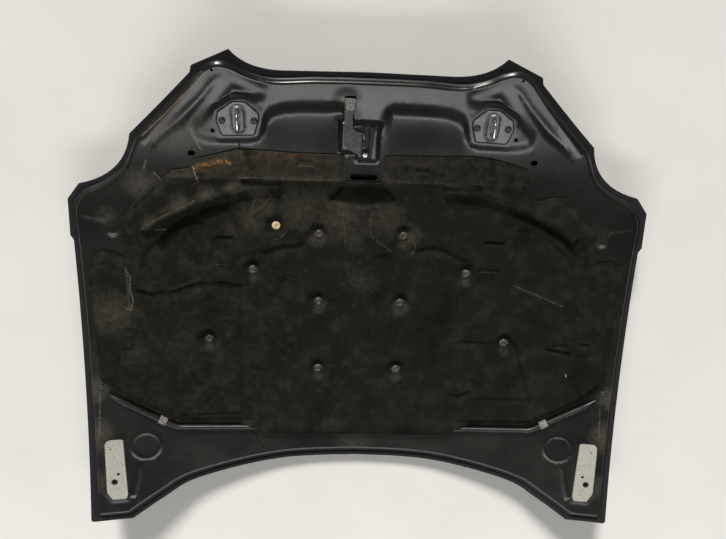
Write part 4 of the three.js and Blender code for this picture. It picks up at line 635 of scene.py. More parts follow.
def plateMesh(loop, holes, thickness, bevel, spacing=None, shape=None):
    # flat blank with bevelled edges; "shape" gives the height that its upper face is raised by
    loops = [counterClockwise(loop)] + [counterClockwise(h)[::-1] for h in holes]
    inset = [mitred(edge, bevel) for edge in loops]
    count = sum(len(edge) for edge in loops)
    flat = list(inset)
    if spacing:
        rowHeight = spacing * netting["row"]
        room = spacing * netting["plateRoom"]
        low, high = inset[0].min(0), inset[0].max(0)
        grid = np.array([(x, y) for y in np.arange(low[1], high[1], rowHeight)
                         for x in np.arange(low[0], high[0], spacing)])
        grid[:, 0] += (np.round((grid[:, 1] - low[1]) / rowHeight) % 2) * spacing / 2
        grid = grid[depthInside(inset[0], grid) > room]
        for hole in inset[1:]:
            grid = grid[depthInside(hole, grid) < -room]
        flat.append(grid)
    flat = np.vstack(flat)
    edges = []
    start = 0
    for edge in loops:
        edges += [(start + i, start + (i + 1) % len(edge)) for i in range(len(edge))]
        start += len(edge)
    coords, _, tris, origins, _, _ = delaunay_2d_cdt(
        [Vector(p) for p in flat], edges, [list(range(len(loops[0])))], 1, 1e-5)
    source = [origin[0] for origin in origins]
    triangles = np.array([[source[i] for i in t] for t in tris if len(t) == 3])
    middles = flat[triangles].mean(axis=1)
    keep = np.ones(len(triangles), bool)
    for hole in inset[1:]:
        keep &= depthInside(hole, middles) < 0
    triangles = triangles[keep]
    outer = np.vstack(loops)
    raised = shape(flat) if shape else np.zeros(len(flat))
    edgeRaised = shape(outer) if shape else np.zeros(count)
    verts = np.vstack([
        np.c_[flat, thickness + raised],
        np.c_[flat, np.zeros(len(flat))],
        np.c_[outer, thickness - bevel + edgeRaised],
        np.c_[outer, np.full(count, bevel)],
    ])
    n = len(flat)
    faces = [tuple(t) for t in triangles.tolist()] + [(a + n, c + n, b + n) for a, b, c in triangles.tolist()]
    for a, b in edges:
        faces.append((b, a, a + 2 * n, b + 2 * n))
        faces.append((b + 2 * n, a + 2 * n, a + 2 * n + count, b + 2 * n + count))
        faces.append((b + 2 * n + count, a + 2 * n + count, a + n, b + n))
    return verts, faces


def joined(*parts):
    verts, faces, start = [], [], 0
    for partVerts, partFaces in parts:
        verts.append(partVerts)
        faces += [tuple(i + start for i in face) for face in partFaces]
        start += len(partVerts)
    return np.vstack(verts), faces


def makePiece(name, part, material, body="bonnet", stands=(), sharpAngle=35, marks=None,
              weld=False):
    # part holds points in the layout's mm; marks are numbers for each point that the material reads
    mesh = bpy.data.meshes.new(name)
    mesh.from_pydata(toFrame(part[0]).tolist(), [], part[1])
    for markName, values in (marks or {}).items():
        layer = mesh.attributes.new(markName, "FLOAT", "POINT")
        layer.data.foreach_set("value", np.asarray(values, np.float32))
    shape = bmesh.new()
    shape.from_mesh(mesh)
    if weld:
        bmesh.ops.remove_doubles(shape, verts=shape.verts, dist=2e-6)
    bmesh.ops.recalc_face_normals(shape, faces=shape.faces)
    shape.to_mesh(mesh)
    shape.free()
    mesh.polygons.foreach_set("use_smooth", np.ones(len(mesh.polygons), bool))
    mesh.set_sharp_from_angle(angle=math.radians(sharpAngle))
    mesh.materials.append(material)
    mesh.update()
    piece = bpy.data.objects.new(name, mesh)
    bpy.context.scene.collection.objects.link(piece)
    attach(piece, body)
    if stands:
        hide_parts(*stands)
    return piece


# Materials


def perMetre(sizeMm):
    # texture scale that gives features of this size
    return 1000 / sizeMm


def addNode(tree, kind, inputs=None, output=0, **settings):
    # one node with its settings and links; gives back the output that is wanted
    node = tree.nodes.new(kind)
    for key, value in settings.items():
        setattr(node, key, value)
    for key, value in (inputs or {}).items():
        if isinstance(value, bpy.types.NodeSocket):
            tree.links.new(value, node.inputs[key])
        else:
            node.inputs[key].default_value = value
    return node.outputs[output]


def makeMaterial(finish):
    # patterns: size in mm, detail and roughness of each cloudiness
    # layers, from below: a colour laid over the last where its pattern, times its mark, passes the span
    # bumps: pattern, depth in mm and strength
    material = bpy.data.materials.new(finish["name"])
    material.use_nodes = True
    tree = material.node_tree
    shader = tree.nodes["Principled BSDF"]
    for key, value in finish["shader"].items():
        shader.inputs[key].default_value = value
    place = addNode(tree, "ShaderNodeTexCoord", output="Object")
    patterns = {}
    for key, (sizeMm, detail, rough) in finish["patterns"].items():
        patterns[key] = addNode(tree, "ShaderNodeTexNoise", {
            "Vector": place, "Scale": perMetre(sizeMm), "Detail": detail, "Roughness": rough}, "Fac")
    colour = toLinear(finish["base"])
    roughness = finish["shader"]["Roughness"]
    for layer in finish["layers"]:
        share = patterns[layer["pattern"]]
        if "mark" in layer:
            mark = addNode(tree, "ShaderNodeAttribute", output="Fac", attribute_name=layer["mark"])
            share = addNode(tree, "ShaderNodeMath", {0: share, 1: mark}, operation="MULTIPLY")
        low, high = layer["span"]
        share = addNode(tree, "ShaderNodeMapRange", {
            "Value": share, "From Min": low, "From Max": high, "To Max": layer.get("most", 1.0)})
        colour = addNode(tree, "ShaderNodeMix", {
            "Factor": share, 6: colour, 7: toLinear(layer["colour"])}, 2, data_type="RGBA")
        if "roughness" in layer:
            roughness = addNode(tree, "ShaderNodeMix", {
                "Factor": share, 2: roughness, 3: layer["roughness"]}, 0, data_type="FLOAT")
    tree.links.new(colour, shader.inputs["Base Color"])
    if isinstance(roughness, bpy.types.NodeSocket):
        tree.links.new(roughness, shader.inputs["Roughness"])
    relief = None
    for key, depthMm, strength in finish["bumps"]:
        inputs = {"Height": patterns[key], "Distance": depthMm / 1000, "Strength": strength}
        if relief:
            inputs["Normal"] = relief
        relief = addNode(tree, "ShaderNodeBump", inputs)
    tree.links.new(relief, shader.inputs["Normal"])
    return material


# Acrylic colour coat over dip primer on pressed steel, never polished here: near black, satin, faint
# orange peel, a film of grey road dust, brown dried runs, painted highlights along the left bead by the
# nose, black grime in the joints; the primer is laid bare where the hinges were
satinPaint = {
    "name": "satin_acrylic_paint", "base": "#0f0f0d",
    "shader": {"Roughness": 0.25, "IOR": 1.5},
    "patterns": {"cloud": (170, 4, 0.6), "speck": (9, 5, 0.7), "run": (5, 4, 0.7), "flake": (12, 5, 0.7),
                 "peel": (3.2, 2, 0.5)},
    "layers": [
        {"colour": "#1a1a17", "pattern": "cloud", "span": (0.35, 0.68), "roughness": 0.33},
        {"colour": "#5a5446", "pattern": "speck", "mark": "dustAndPaintedLight", "span": (0.1, 0.62), "roughness": 0.7},
        # dried runs, and painted highlights along the left bead's edges
        {"colour": "#8d7962", "pattern": "run", "mark": "rustAndHighlight", "span": (0.28, 0.62), "most": 0.8,
         "roughness": 0.6},
        {"colour": "#a9a69d", "pattern": "flake", "mark": "bare", "span": (0.1, 0.2), "roughness": 0.6},
        {"colour": "#6f6c65", "pattern": "run", "mark": "bare", "span": (0.5, 0.7), "most": 0.8},
        {"colour": "#0c0c0d", "pattern": "cloud", "mark": "sealer", "span": (0.1, 0.3), "roughness": 0.85},
        {"colour": "#070707", "pattern": "flake", "mark": "grime", "span": (0.15, 0.3), "roughness": 0.7},
    ],
    "bumps": [("peel", 0.04, 0.4)],
}
# The same paint with its clear coat, polished: dark and glossy, scratches too fine to show; the hem
# is brushed over with dull black sealer
clearPaint = {
    "name": "clear_coated_paint", "base": "#101112",
    "shader": {"Roughness": 0.18, "IOR": 1.5},
    "patterns": {"cloud": (60, 5, 0.6), "peel": (3.2, 2, 0.5)},
    "layers": [
        {"colour": "#1a1b1d", "pattern": "cloud", "span": (0.3, 0.75), "roughness": 0.3},
        {"colour": "#0c0c0d", "pattern": "cloud", "mark": "sealer", "span": (0.1, 0.3), "roughness": 0.85},
    ],
    "bumps": [("peel", 0.03, 0.4)],
}
# Hot-moulded reclaimed-fibre felt under a black scrim: matte and fuzzy, olive where the heat of the
# engine browned it, grey with dust, orange where rust water ran, cream where the scrim has torn.
# Painted shade darkens its folds and hollows and its right half; painted highlights, laid as wear and
# dust, lighten lit lips. The fibres are finer than they are drawn here, so that they show
fibreFelt = {
    "name": "moulded_fibre_felt", "base": "#161712",
    "shader": {"Roughness": 0.92, "IOR": 1.45, "Specular IOR Level": 0.06},
    "patterns": {"cloud": (150, 5, 0.6), "patch": (42, 5, 0.65), "tuft": (8, 4, 0.7), "fibre": (2.4, 4, 0.75),
                 "stain": (16, 6, 0.75), "tear": (6, 6, 0.8)},
    "layers": [
        {"colour": "#1f201b", "pattern": "cloud", "span": (0.34, 0.66)},
        {"colour": "#2c2c26", "pattern": "patch", "span": (0.44, 0.76), "most": 0.7},
        {"colour": "#302f28", "pattern": "patch", "span": (0.54, 0.74), "most": 0.3},
        {"colour": "#0d0e0b", "pattern": "cloud", "span": (0.52, 0.68), "most": 0.7},
        # dust, which also paints the right half darker and the rear side of each clip's dimple lighter as
        # painted light
        {"colour": "#534c43", "pattern": "stain", "mark": "dustAndPaintedLight", "span": (0.16, 0.7)},
        {"colour": "#6e655a", "pattern": "tear", "mark": "dustAndPaintedLight", "span": (0.4, 0.6), "most": 0.7},
        {"colour": "#4a3d2c", "pattern": "stain", "mark": "rustAndHighlight", "span": (0.22, 0.5), "most": 0.9},
        {"colour": "#8b5624", "pattern": "tuft", "mark": "rustAndHighlight", "span": (0.47, 0.6), "most": 0.85},
        {"colour": "#a08a64", "pattern": "stain", "mark": "rustAndHighlight", "span": (0.52, 0.68), "most": 0.7},
        # wear, and painted highlights on lit lips and edges
        {"colour": "#676054", "pattern": "tear", "mark": "wearAndHighlight", "span": (0.3, 0.6), "most": 0.75},
        {"colour": "#b9ac8d", "pattern": "tear", "mark": "torn", "span": (0.4, 0.56), "most": 0.9},
        {"colour": "#14130f", "pattern": "fibre", "mark": "torn", "span": (0.5, 0.62), "most": 0.85},
        # painted shade: near black over the folds, the lens recess and the front side of each clip
        {"colour": "#060605", "pattern": "cloud", "mark": "paintedShade", "span": (0.06, 0.42), "most": 0.8},
    ],
    "bumps": [("tuft", 1.4, 0.5), ("fibre", 0.7, 0.6)],
}
# Extruded EPDM bulb seal: near black with a waxy gloss, dulled by dust
bulbSeal = {
    "name": "epdm_bulb_seal", "base": "#0b0c0d",
    "shader": {"Roughness": 0.42, "IOR": 1.52},
    "patterns": {"cloud": (28, 4, 0.65), "ripple": (5, 3, 0.6)},
    "layers": [{"colour": "#242422", "pattern": "cloud", "span": (0.42, 0.75), "roughness": 0.55}],
    "bumps": [("ripple", 0.2, 0.5)],
}
# Zinc-plated pressed steel: grey metal, clouded and dull where the plating has gone off
zincPlate = {
    "name": "dull_zinc_plate", "base": "#59595a",
    "shader": {"Roughness": 0.4, "Metallic": 0.55},
    "patterns": {"cloud": (16, 6, 0.68), "grain": (2.2, 3, 0.6)},
    "layers": [
        {"colour": "#7e7e80", "pattern": "cloud", "span": (0.36, 0.66), "roughness": 0.5},
        {"colour": "#3c3b39", "pattern": "grain", "span": (0.55, 0.8), "most": 0.45},
    ],
    "bumps": [("grain", 0.06, 0.5)],
}
# Drawn steel wire, zinc plated and rubbed bright by the latch
brightWire = {
    "name": "rubbed_zinc_wire", "base": "#a8a9ab",
    "shader": {"Roughness": 0.2, "Metallic": 0.8},
    "patterns": {"cloud": (12, 6, 0.68), "grain": (2.2, 3, 0.6)},
    "layers": [{"colour": "#737476", "pattern": "cloud", "span": (0.45, 0.7), "roughness": 0.42}],
    "bumps": [("grain", 0.04, 0.4)],
}
# Cold-forged bolts with a black phosphate finish: dark grey, crystalline, slightly oily
phosphateBolt = {
    "name": "black_phosphate_bolt", "base": "#222223",
    "shader": {"Roughness": 0.42, "Metallic": 0.4},
    "patterns": {"cloud": (6, 5, 0.7), "grain": (1.8, 3, 0.6)},
    "layers": [{"colour": "#3d3c3b", "pattern": "cloud", "span": (0.42, 0.7), "roughness": 0.55}],
    "bumps": [("grain", 0.06, 0.5)],
}
# Pressed steel lever, its dark coat rubbed through to bare steel where fingers and hook slide
wornCoat = {
    "name": "worn_coated_steel", "base": "#2b2b2c",
    "shader": {"Roughness": 0.44, "Metallic": 0.5},
    "patterns": {"cloud": (11, 6, 0.7), "scratch": (4, 5, 0.75)},
    "layers": [
        {"colour": "#444443", "pattern": "cloud", "span": (0.4, 0.66)},
        {"colour": "#6d6c68", "pattern": "scratch", "mark": "bare", "span": (0.36, 0.56), "roughness": 0.4},
        {"colour": "#9c9b94", "pattern": "scratch", "mark": "bare", "span": (0.55, 0.66), "roughness": 0.35},
    ],
    "bumps": [("scratch", 0.1, 0.5)],
}
# Oil-blackened spring steel
blackSteel = {
    "name": "oil_blackened_steel", "base": "#0b0b0b",
    "shader": {"Roughness": 0.5, "Metallic": 0.35},
    "patterns": {"cloud": (7, 5, 0.7), "grain": (2, 3, 0.6)},
    "layers": [{"colour": "#1f1f1f", "pattern": "cloud", "span": (0.42, 0.7), "roughness": 0.6}],
    "bumps": [("grain", 0.05, 0.5)],
}
# Injection-moulded polyamide, black: fine spark texture that holds dust
blackPlastic = {
    "name": "black_polyamide", "base": "#171714",
    "shader": {"Roughness": 0.42, "IOR": 1.52},
    "patterns": {"cloud": (9, 5, 0.65), "spark": (1.6, 2, 0.5)},
    "layers": [{"colour": "#544e43", "pattern": "cloud", "span": (0.4, 0.62), "roughness": 0.65}],
    "bumps": [("spark", 0.04, 0.5)],
}
# Natural polyamide greyed by road dirt: dull, mottled
greyPlastic = {
    "name": "greyed_polyamide", "base": "#8f8c86",
    "shader": {"Roughness": 0.45, "IOR": 1.52},
    "patterns": {"cloud": (7, 5, 0.65), "spark": (1.6, 2, 0.5)},
    "layers": [{"colour": "#45423c", "pattern": "cloud", "span": (0.42, 0.66), "roughness": 0.6}],
    "bumps": [("spark", 0.04, 0.5)],
}
# Natural polyamide yellowed by heat: cream, mottled with brown dirt
creamPlastic = {
    "name": "heat_yellowed_polyamide", "base": "#d9c69d",
    "shader": {"Roughness": 0.5, "IOR": 1.52},
    "patterns": {"cloud": (5, 5, 0.65), "spark": (1.6, 2, 0.5)},
    "layers": [
        {"colour": "#957a52", "pattern": "cloud", "span": (0.46, 0.66), "most": 0.8, "roughness": 0.65},
    ],
    "bumps": [("spark", 0.04, 0.5)],
}
# Cathodic dip primer on the hidden plates: thin, black, satin
dipPrimer = {
    "name": "dip_primer", "base": "#121213",
    "shader": {"Roughness": 0.5, "IOR": 1.5},
    "patterns": {"cloud": (25, 4, 0.6), "peel": (3, 2, 0.5)},
    "layers": [{"colour": "#1f1f20", "pattern": "cloud", "span": (0.35, 0.65)}],
    "bumps": [("peel", 0.03, 0.4)],
}
# Sealed pale concrete floor: even, with a faint cloudiness
paleConcrete = {
    "name": "sealed_pale_concrete", "base": "#dedcd8",
    "shader": {"Roughness": 0.85},
    "patterns": {"cloud": (400, 4, 0.6), "grain": (6, 3, 0.6)},
    "layers": [{"colour": "#e4e2df", "pattern": "cloud", "span": (0.3, 0.7)}],
    "bumps": [("grain", 0.05, 0.2)],
}

materials = {
    "paint": makeMaterial(satinPaint),
    "outer": makeMaterial(clearPaint),
    "felt": makeMaterial(fibreFelt),
    "rubber": makeMaterial(bulbSeal),
    "plate": makeMaterial(zincPlate),
    "loop": makeMaterial(brightWire),
    "bolt": makeMaterial(phosphateBolt),
    "lever": makeMaterial(wornCoat),
    "blackSteel": makeMaterial(blackSteel),
    "clip": makeMaterial(blackPlastic),
    "saddle": makeMaterial(greyPlastic),
    "cream": makeMaterial(creamPlastic),
    "primer": makeMaterial(dipPrimer),
    "floor": makeMaterial(paleConcrete),
}
print("materials made")


def blobs(points, places):
    # soft round patches: (x, y, radius, strength)
    total = np.zeros(len(points))
    for x, y, radius, strength in places:
        away = np.hypot(points[:, 0] - x, points[:, 1] - y) / radius
        total = np.maximum(total, strength * smooth(1 - away))
    return total


def edgeRing(inset, height):
    # ring round the bonnet at an inset from its edge, all with the same count of points
    pts = roundedLoop(mitred(outline, inset), bonnet["cornerRadius"], bonnet["edgeStep"], outline)
    return aboveSkin(pts, np.full(len(pts), float(height)))


# Outer skin with its hem folded over the panel
def outerSkin():
    b = bonnet
    hemUnder = 2 * b["seam"] + b["panel"]
    hemTop = hemUnder + b["skin"]
    foldRadius = (hemTop + b["skin"]) / 2
    foldMiddle = (hemTop - b["skin"]) / 2
    foldSteps = b["foldSteps"]
    bevel, bevelFrom = b["hemBevel"]
    hemRings = [
        edgeRing(foldRadius, 0), edgeRing(b["skin"], b["hemFoot"]), edgeRing(b["skin"], hemUnder),
        edgeRing(b["hem"], hemUnder), edgeRing(b["hem"], mix(hemUnder, hemTop, bevelFrom)),
        edgeRing(b["hem"] - bevel, hemTop), edgeRing(b["hem"] * b["hemMiddle"], hemTop),
    ]
    rings = list(hemRings)
    for i in range(foldSteps + 1):
        angle = math.pi * (0.5 - i / foldSteps)
        rings.append(edgeRing(foldRadius * (1 - math.cos(angle)), foldMiddle + foldRadius * math.sin(angle)))
    rim = roundedLoop(mitred(outline, foldRadius), b["cornerRadius"], b["edgeStep"], outline)
    net, triangles = planMesh(rim, [], [], b["skinStep"])
    inner = aboveSkin(net, np.zeros(len(net)))
    outer = aboveSkin(net, np.full(len(net), -b["skin"]))
    corners = [tuple(t) for t in triangles.tolist()]
    part = joined(ringMesh(rings, closeEnds=False), (inner, corners), (outer, corners))
    # sealer covers the hem, on the rings from the inside of the fold round to its outermost line
    firstRing, endRing = 1, len(hemRings) + foldSteps // 2 + 1
    sealer = np.zeros(len(part[0]))
    sealer[len(rim) * firstRing:len(rim) * endRing] = 1
    makePiece("outer_skin_shell", part, materials["outer"], stands=["outer_skin"], weld=True,
              marks={"sealer": sealer})


outerSkin()
print("outer skin made")

# Holes of the inner panel and where the clips go
holes = {
    "horn": (360, 9, 3.2), "lance": (373, 147, 5), "oval": (430, 204, 18, 13), "drain": (0, 256, 70, 16),
    "plug": (696, 408, 3.6), "clip": 4.3,
}
rightClips = [(113, 836), (288, 736), (112, 646), (110, 448), (408, 540)]
clipPlaces = [(side * x, y) for x, y in rightClips for side in (1, -1)]
washerPlace = (-226, 858)


def clipHoles():
    places = clipPlaces + [washerPlace]
    return [counterClockwise(arcPoints(x, y, holes["clip"], circle["clip"])) for x, y in places]


def panelHoles():
    h = holes
    loops = [slotLoop(h["drain"][0], behind(h["drain"][1]), *h["drain"][2:], circle["slot"])]
    for side in (1, -1):
        for name in ("horn", "lance"):
            x, back, radius = h[name]
            loops.append(arcPoints(side * x, behind(back), radius, circle["panel"]))
        x, back, length, width = h["oval"]
        loops.append(slotLoop(side * x, behind(back), length, width, circle["slot"]))
        x, y, radius = h["plug"]
        loops.append(arcPoints(side * x, y, radius, circle["panel"]))
        for u in (striker["boltSpan"], -striker["boltSpan"]):
            loops.append(seatRing(strikerSeats[side], 1, (u, striker["boltForward"], striker["boltHole"])))
        for name in ("bolt", "small", "locator"):
            loops.append(seatRing(hingeSeats[side], side, hinge[name]))
    return [counterClockwise(loop) for loop in loops] + clipHoles()


def footprint(side):
    return seatLoop(hingeSeats[side], roundedLoop(onSide(side, hingeOutline()), hinge["corner"]))


# Inner panel: one pressed sheet, its flange lying in the hem
panelMarks = {
    # dusty stretches: x, y, radius, strength
    "dustAndPaintedLight": [(-720, 400, 80, 0.55), (-720, 270, 100, 0.5), (-724, 130, 90, 0.4), (718, 392, 70, 0.6),
             (724, 270, 100, 0.6), (732, 120, 90, 0.5), (-470, 1090, 110, 0.5), (-560, 960, 90, 0.5),
             (0, 225, 150, 0.35), (-260, 240, 150, 0.25), (330, 245, 150, 0.2), (-400, 1100, 80, 0.45),
             (-650, 880, 60, 0.4), (640, 860, 60, 0.3)],
    # dried brown runs, and painted highlights along both edges of the bead left of the nose: line, half
    # width, strength
    "rustAndHighlight": [([(-405, 1206), (-470, 1145), (-541, 1082)], 2.6, 1.0),
             ([(-414, 1193), (-462, 1141), (-538, 1060)], 2.6, 1.0),
             ([(-425, 1097), (-423, 1083), (-406, 1051)], 3, 0.9), ([(-381, 1236), (-410, 1206)], 4, 0.7),
             ([(-525, 992), (-499, 958)], 2.6, 0.8), ([(-548, 1000), (-540, 1024)], 4, 0.8),
             ([(-340, 1064), (-300, 1062), (-240, 1056)], 2.4, 0.5), ([(52, 1168), (51, 1120)], 2, 0.4),
             ([(691, 361), (695, 320), (697, 276)], 2.4, 0.7),
             ([(714, 373), (719, 320), (721, 276)], 2.4, 0.6),
             ([(-700, 392), (-704, 330), (-708, 262)], 3, 0.7),
             ([(-722, 400), (-726, 320), (-731, 220)], 3, 0.6), ([(-484, 1008), (-566, 906)], 5, 0.35)],
    # black grease: line, half width, strength
    "grime": [([(-312, 1080), (-313, 1052)], 2.4, 1.0), ([(-24, 1112), (30, 1116)], 6, 1.0),
              ([(2, 1112), (2, 1050), (6, 1040)], 12, 1.0), ([(-30, 1042), (-2, 1040)], 3, 0.8)],
    "overallDust": 0.1, "jointGrime": 2.6, "jointInset": 1, "sealerFrom": 6, "sealerReach": 15,
    # mesh lines: shares of the wall outside the ridge, and shifts round each plate and each footprint
    "wallCreases": (0.25, 0, -0.18, -0.4, -0.7, -1), "plateCreases": (0, 2.6, 4.5), "printCreases": (0, -0.7),
}


fadeOut = 1.5  # a line fades out at this many half widths


def drawLines(points, lines):
    # strength of soft lines: (line, half width, strength)
    total = np.zeros(len(points))
    for line, halfWidth, strength in lines:
        total = np.maximum(total, strength * smooth(fadeOut - lineDistance(line, points) / halfWidth))
    return total


def lineCreases(lines):
    # mesh lines that let a narrow mark be drawn
    found = []
    for line, halfWidth, _ in lines:
        found += [sideLine(line, shift * halfWidth) for shift in (-fadeOut, -0.5, 0.5, fadeOut)]
    return found


def closedLine(loop):
    return np.vstack([loop, loop[:1]])


def formCreases(forms):
    found = []
    for loop, _, wall in forms:
        found.append(closedLine(loop))
        top = mitred(loop, wall)
        top = top[depthInside(loop, top) > 0.9 * wall]
        if len(top) > 3:
            found.append(closedLine(top))
    return found


def plateEdge(side):
    return seatLoop(strikerSeats[side], roundedLoop(onSide(side, striker["outline"]), striker["corner"]))


def innerPanel():
    b = bonnet
    edge = roundedLoop(mitred(outline, b["skin"] + b["seam"]), b["cornerRadius"], b["edgeStep"], outline)
    prints = [footprint(side) for side in (1, -1)]
    plates = [plateEdge(side) for side in (1, -1)]
    m = panelMarks
    creases = [closedLine(mitred(p, shift)) for p in prints for shift in m["printCreases"]]
    creases += formCreases(panelForms)
    creases += [closedLine(mitred(ridge, shift * panel["wall"])) for shift in m["wallCreases"]]
    for seat in seats:
        creases += [closedLine(seat["loop"]), closedLine(seat["outer"])]
    for plate in plates:
        creases += [closedLine(mitred(plate, -shift)) for shift in m["plateCreases"]]
    creases += lineCreases(m["rustAndHighlight"] + m["grime"])
    net, triangles = planMesh(edge, panelHoles(), creases, panel["step"])
    upper = np.c_[net, panelHeight(net)]
    steep = crownNormal(net)[:, 2]
    lower = np.c_[net, upper[:, 2] - b["panel"] / steep]
    dustAndPaintedLight = np.maximum(m["overallDust"], blobs(net, m["dustAndPaintedLight"]))
    bare = np.zeros(len(net))
    for loop in prints:
        bare = np.maximum(bare, (depthInside(loop, net) > -0.05).astype(float))
    grime = drawLines(net, m["grime"])
    for plate in plates:
        inJoint = np.abs(depthInside(plate, net) + m["jointInset"]) < m["jointInset"] + 0.7 * m["jointGrime"]
        grime = np.maximum(grime, inJoint * 1.0)
    sealer = smooth((-depthInside(ridge, net) - m["sealerFrom"]) / m["sealerReach"])
    # the panel's runs mark holds dried runs and painted highlights along the left bead
    marks = {"dustAndPaintedLight": dustAndPaintedLight * (1 - sealer), "rustAndHighlight": drawLines(net, m["rustAndHighlight"]), "bare": bare, "grime": grime,
             "sealer": sealer}
    marks = {name: np.tile(values, 2) for name, values in marks.items()}
    makePiece("inner_panel_pressing", closedSheet(triangles, upper, lower), materials["paint"],
              stands=["inner_panel"], marks=marks, sharpAngle=50)


innerPanel()
print("inner panel made")

# Rear seal: its route over the panel, right half from the middle
seal = {
    "radius": 7.4, "gap": 0.5, "middleY": 268, "knee": (500, 281), "end": (676, 385), "step": 8,
    "toKnee": [(0.35, 0.12), (0.7, 0.42), (0.93, 0.8), (1, 1)],
    "toEnd": [(0.14, 0.11), (0.5, 0.47), (0.8, 0.78), (1, 1)],
    "clipLength": 22, "clipWall": 2, "clipShare": 0.24, "clearance": 0.35, "clipBevel": 0.8,
    "clipPinch": 0.94, "clipRoom": 1.06, "clipPoints": 15,
    "points": 20,
    # waves of the bulb's radius: share, length and shift; how far it is squeezed where it ends
    "waves": [(0.03, 19, 0), (0.025, 7.3, 1)], "squeeze": 0.62, "squeezeReach": 26,
}


def sealHalf():
    middleY = seal["middleY"]
    kneeX, kneeY = seal["knee"]
    endX, endY = seal["end"]
    line = [(0, middleY)]
    line += [(kneeX * across, mix(middleY, kneeY, rise)) for across, rise in seal["toKnee"]]
    line += [(mix(kneeX, endX, across), mix(kneeY, endY, rise)) for across, rise in seal["toEnd"]]
    return line


sealRight = sealHalf()
sealRoute = mirrored(sealRight)[::-1] + sealRight[1:]

# Insulation pad: outline, thickness and the forms moulded into it
pad = {
    "pinch": 3, "loft": 9, "gap": 2, "seatGap": 0.4, "rimBand": 7, "rimWall": 15,
    "notchX": 49, "topBehind": 200, "notchBehind": 270, "earX": 702, "earTopY": 792, "earRearY": 428,
    "bandDrop": 5, "bandBehind": 268, "bandWall": 5, "crestHeight": 12, "crestHalf": 19, "crestWall": 13,
    "lensDepth": 9, "lensWall": 11, "fieldDrop": 6, "fieldWall": 7,
    "dimple": 34, "clipFlat": 12.5, "step": 6.2, "corner": 12, "edgeStep": 7,
    "lensRound": 20, "fieldRound": 30, "boxRound": 8, "slotRound": 3, "roundPoints": 36, "crestStep": 12,
    "edgeDrop": 0.8, "edgeReach": 2.5,  # how the felt is pinched at its edge
    "lapHalf": 262, "lapFade": 36, "lapBehind": 15, "lapLift": 14, "sealGap": 5, "sealEndIn": 20,
    "earRearIn": 8,
    # front edge, right and left: x and how far behind the pad's front
    "frontRight": [(205, -3), (270, -6), (325, -1), (372, 9), (419, 25), (427, 44), (424, 71), (454, 105),
                   (494, 92), (525, 93), (567, 135), (611, 176), (614, 240)],
    "frontLeft": [(189, -2), (259, -6), (320, -8), (363, 4), (428, 20), (436, 43), (477, 47), (501, 65),
                  (519, 80), (580, 136), (614, 172), (612, 240)],
    "earTop": [(95, 26), (66, 8), (38, 0), (12, 14), (0, 50)],
    "crest": [(205, 286), (250, 284), (305, 293), (368, 309), (427, 330), (468, 349), (526, 379), (566, 407)],
    "lens": [(58, 274), (106, 323), (0, 335), (-106, 323), (-58, 274)],
    "field": [(398, 372), (470, 380), (560, 450), (578, 510), (553, 588), (415, 535)],
    "slots": [([(129, 206), (168, 205), (168, 222), (129, 223)], -3, 3),
              ([(131, 228), (170, 227), (171, 243), (132, 244)], -3, 3),
              ([(-170, 213), (-129, 212), (-129, 230), (-170, 231)], -3.5, 3),
              ([(-316, 264), (-206, 262), (-206, 288), (-262, 283), (-316, 294)], -6, 6),
              ([(206, 262), (312, 264), (312, 292), (262, 283), (206, 290)], -5, 6),
              ([(-380, 418), (-338, 418), (-338, 430), (-380, 430)], -6, 4),
              ([(329, 415), (378, 415), (378, 427), (329, 427)], -5, 4),
              ([(604, 690), (640, 690), (640, 702), (604, 702)], -4, 4)],
    # steps where the felt drops towards the rear: line, drop, reach over which it comes back
    "steps": [([(-582, 682), (-547, 673), (-487, 681), (-447, 697), (-394, 704), (-320, 694)], 5, 30),
              ([(152, 802), (189, 812), (222, 805), (274, 778)], 5, 26),
              ([(-256, 788), (-214, 802), (-160, 809)], 4, 24),
              ([(298, 542), (436, 547), (452, 487), (471, 438), (486, 381)], 4, 26),
              ([(266, 383), (288, 377), (320, 390)], 4, 20)],
    "leftBox": ([(-492, 320), (-321, 320), (-318, 690), (-400, 706), (-488, 682)], 5, 5),
    "rightBox": ([(316, 372), (496, 376), (470, 545), (330, 548)], 4.5, 5),
    "earPatch": ([(604, 520), (641, 520), (641, 564), (604, 564)], 3.5, 4),
    "frontPatch": ([(334, 750), (378, 750), (378, 828), (334, 828)], 3, 4),
    "slot": ((558, 541, 44, 16), -4.5, 3),
    "rounds": [(-196, 689, 27, -4, 6), (326, 403, 28, -5, 7), (-281, 470, 20, 4, 8), (323, 597, 16, 4, 6)],
}
padForms = []


def padOutline():
    p = pad
    notch = [(p["notchX"], behind(p["notchBehind"])), (p["notchX"], behind(p["topBehind"]))]
    ear = [(p["earX"] - x, p["earTopY"] - y) for x, y in p["earTop"]]
    ear += [(p["earX"], (p["earTopY"] + p["earRearY"]) / 2), (p["earX"] - p["earRearIn"], p["earRearY"])]
    near = seal["radius"] + p["sealGap"]
    beside = [tuple(q) for q in sideLine(sealRight, near)
              if p["lapHalf"] + p["lapFade"] < q[0] < seal["end"][0] - p["sealEndIn"]]
    lapRear = seal["middleY"] - p["lapBehind"]
    lap = [(p["lapHalf"] + p["lapFade"], seal["middleY"] + near + bonnet["seam"]),
           (p["lapHalf"], seal["middleY"] - p["lapBehind"] / 2),
           (p["lapHalf"] - p["lapFade"], lapRear), (0, lapRear)]
    rear = ear + beside[::-1] + lap
    right = notch + [(x, behind(p["topBehind"] + d)) for x, d in p["frontRight"]] + rear
    left = notch + [(x, behind(p["topBehind"] + d)) for x, d in p["frontLeft"]] + rear[:-1]
    return counterClockwise(right + mirrored(left)[::-1])


padEdge = roundedLoop(padOutline(), pad["corner"], pad["edgeStep"])


lensLoop = roundedLoop(fromNose(pad["lens"]), pad["lensRound"])


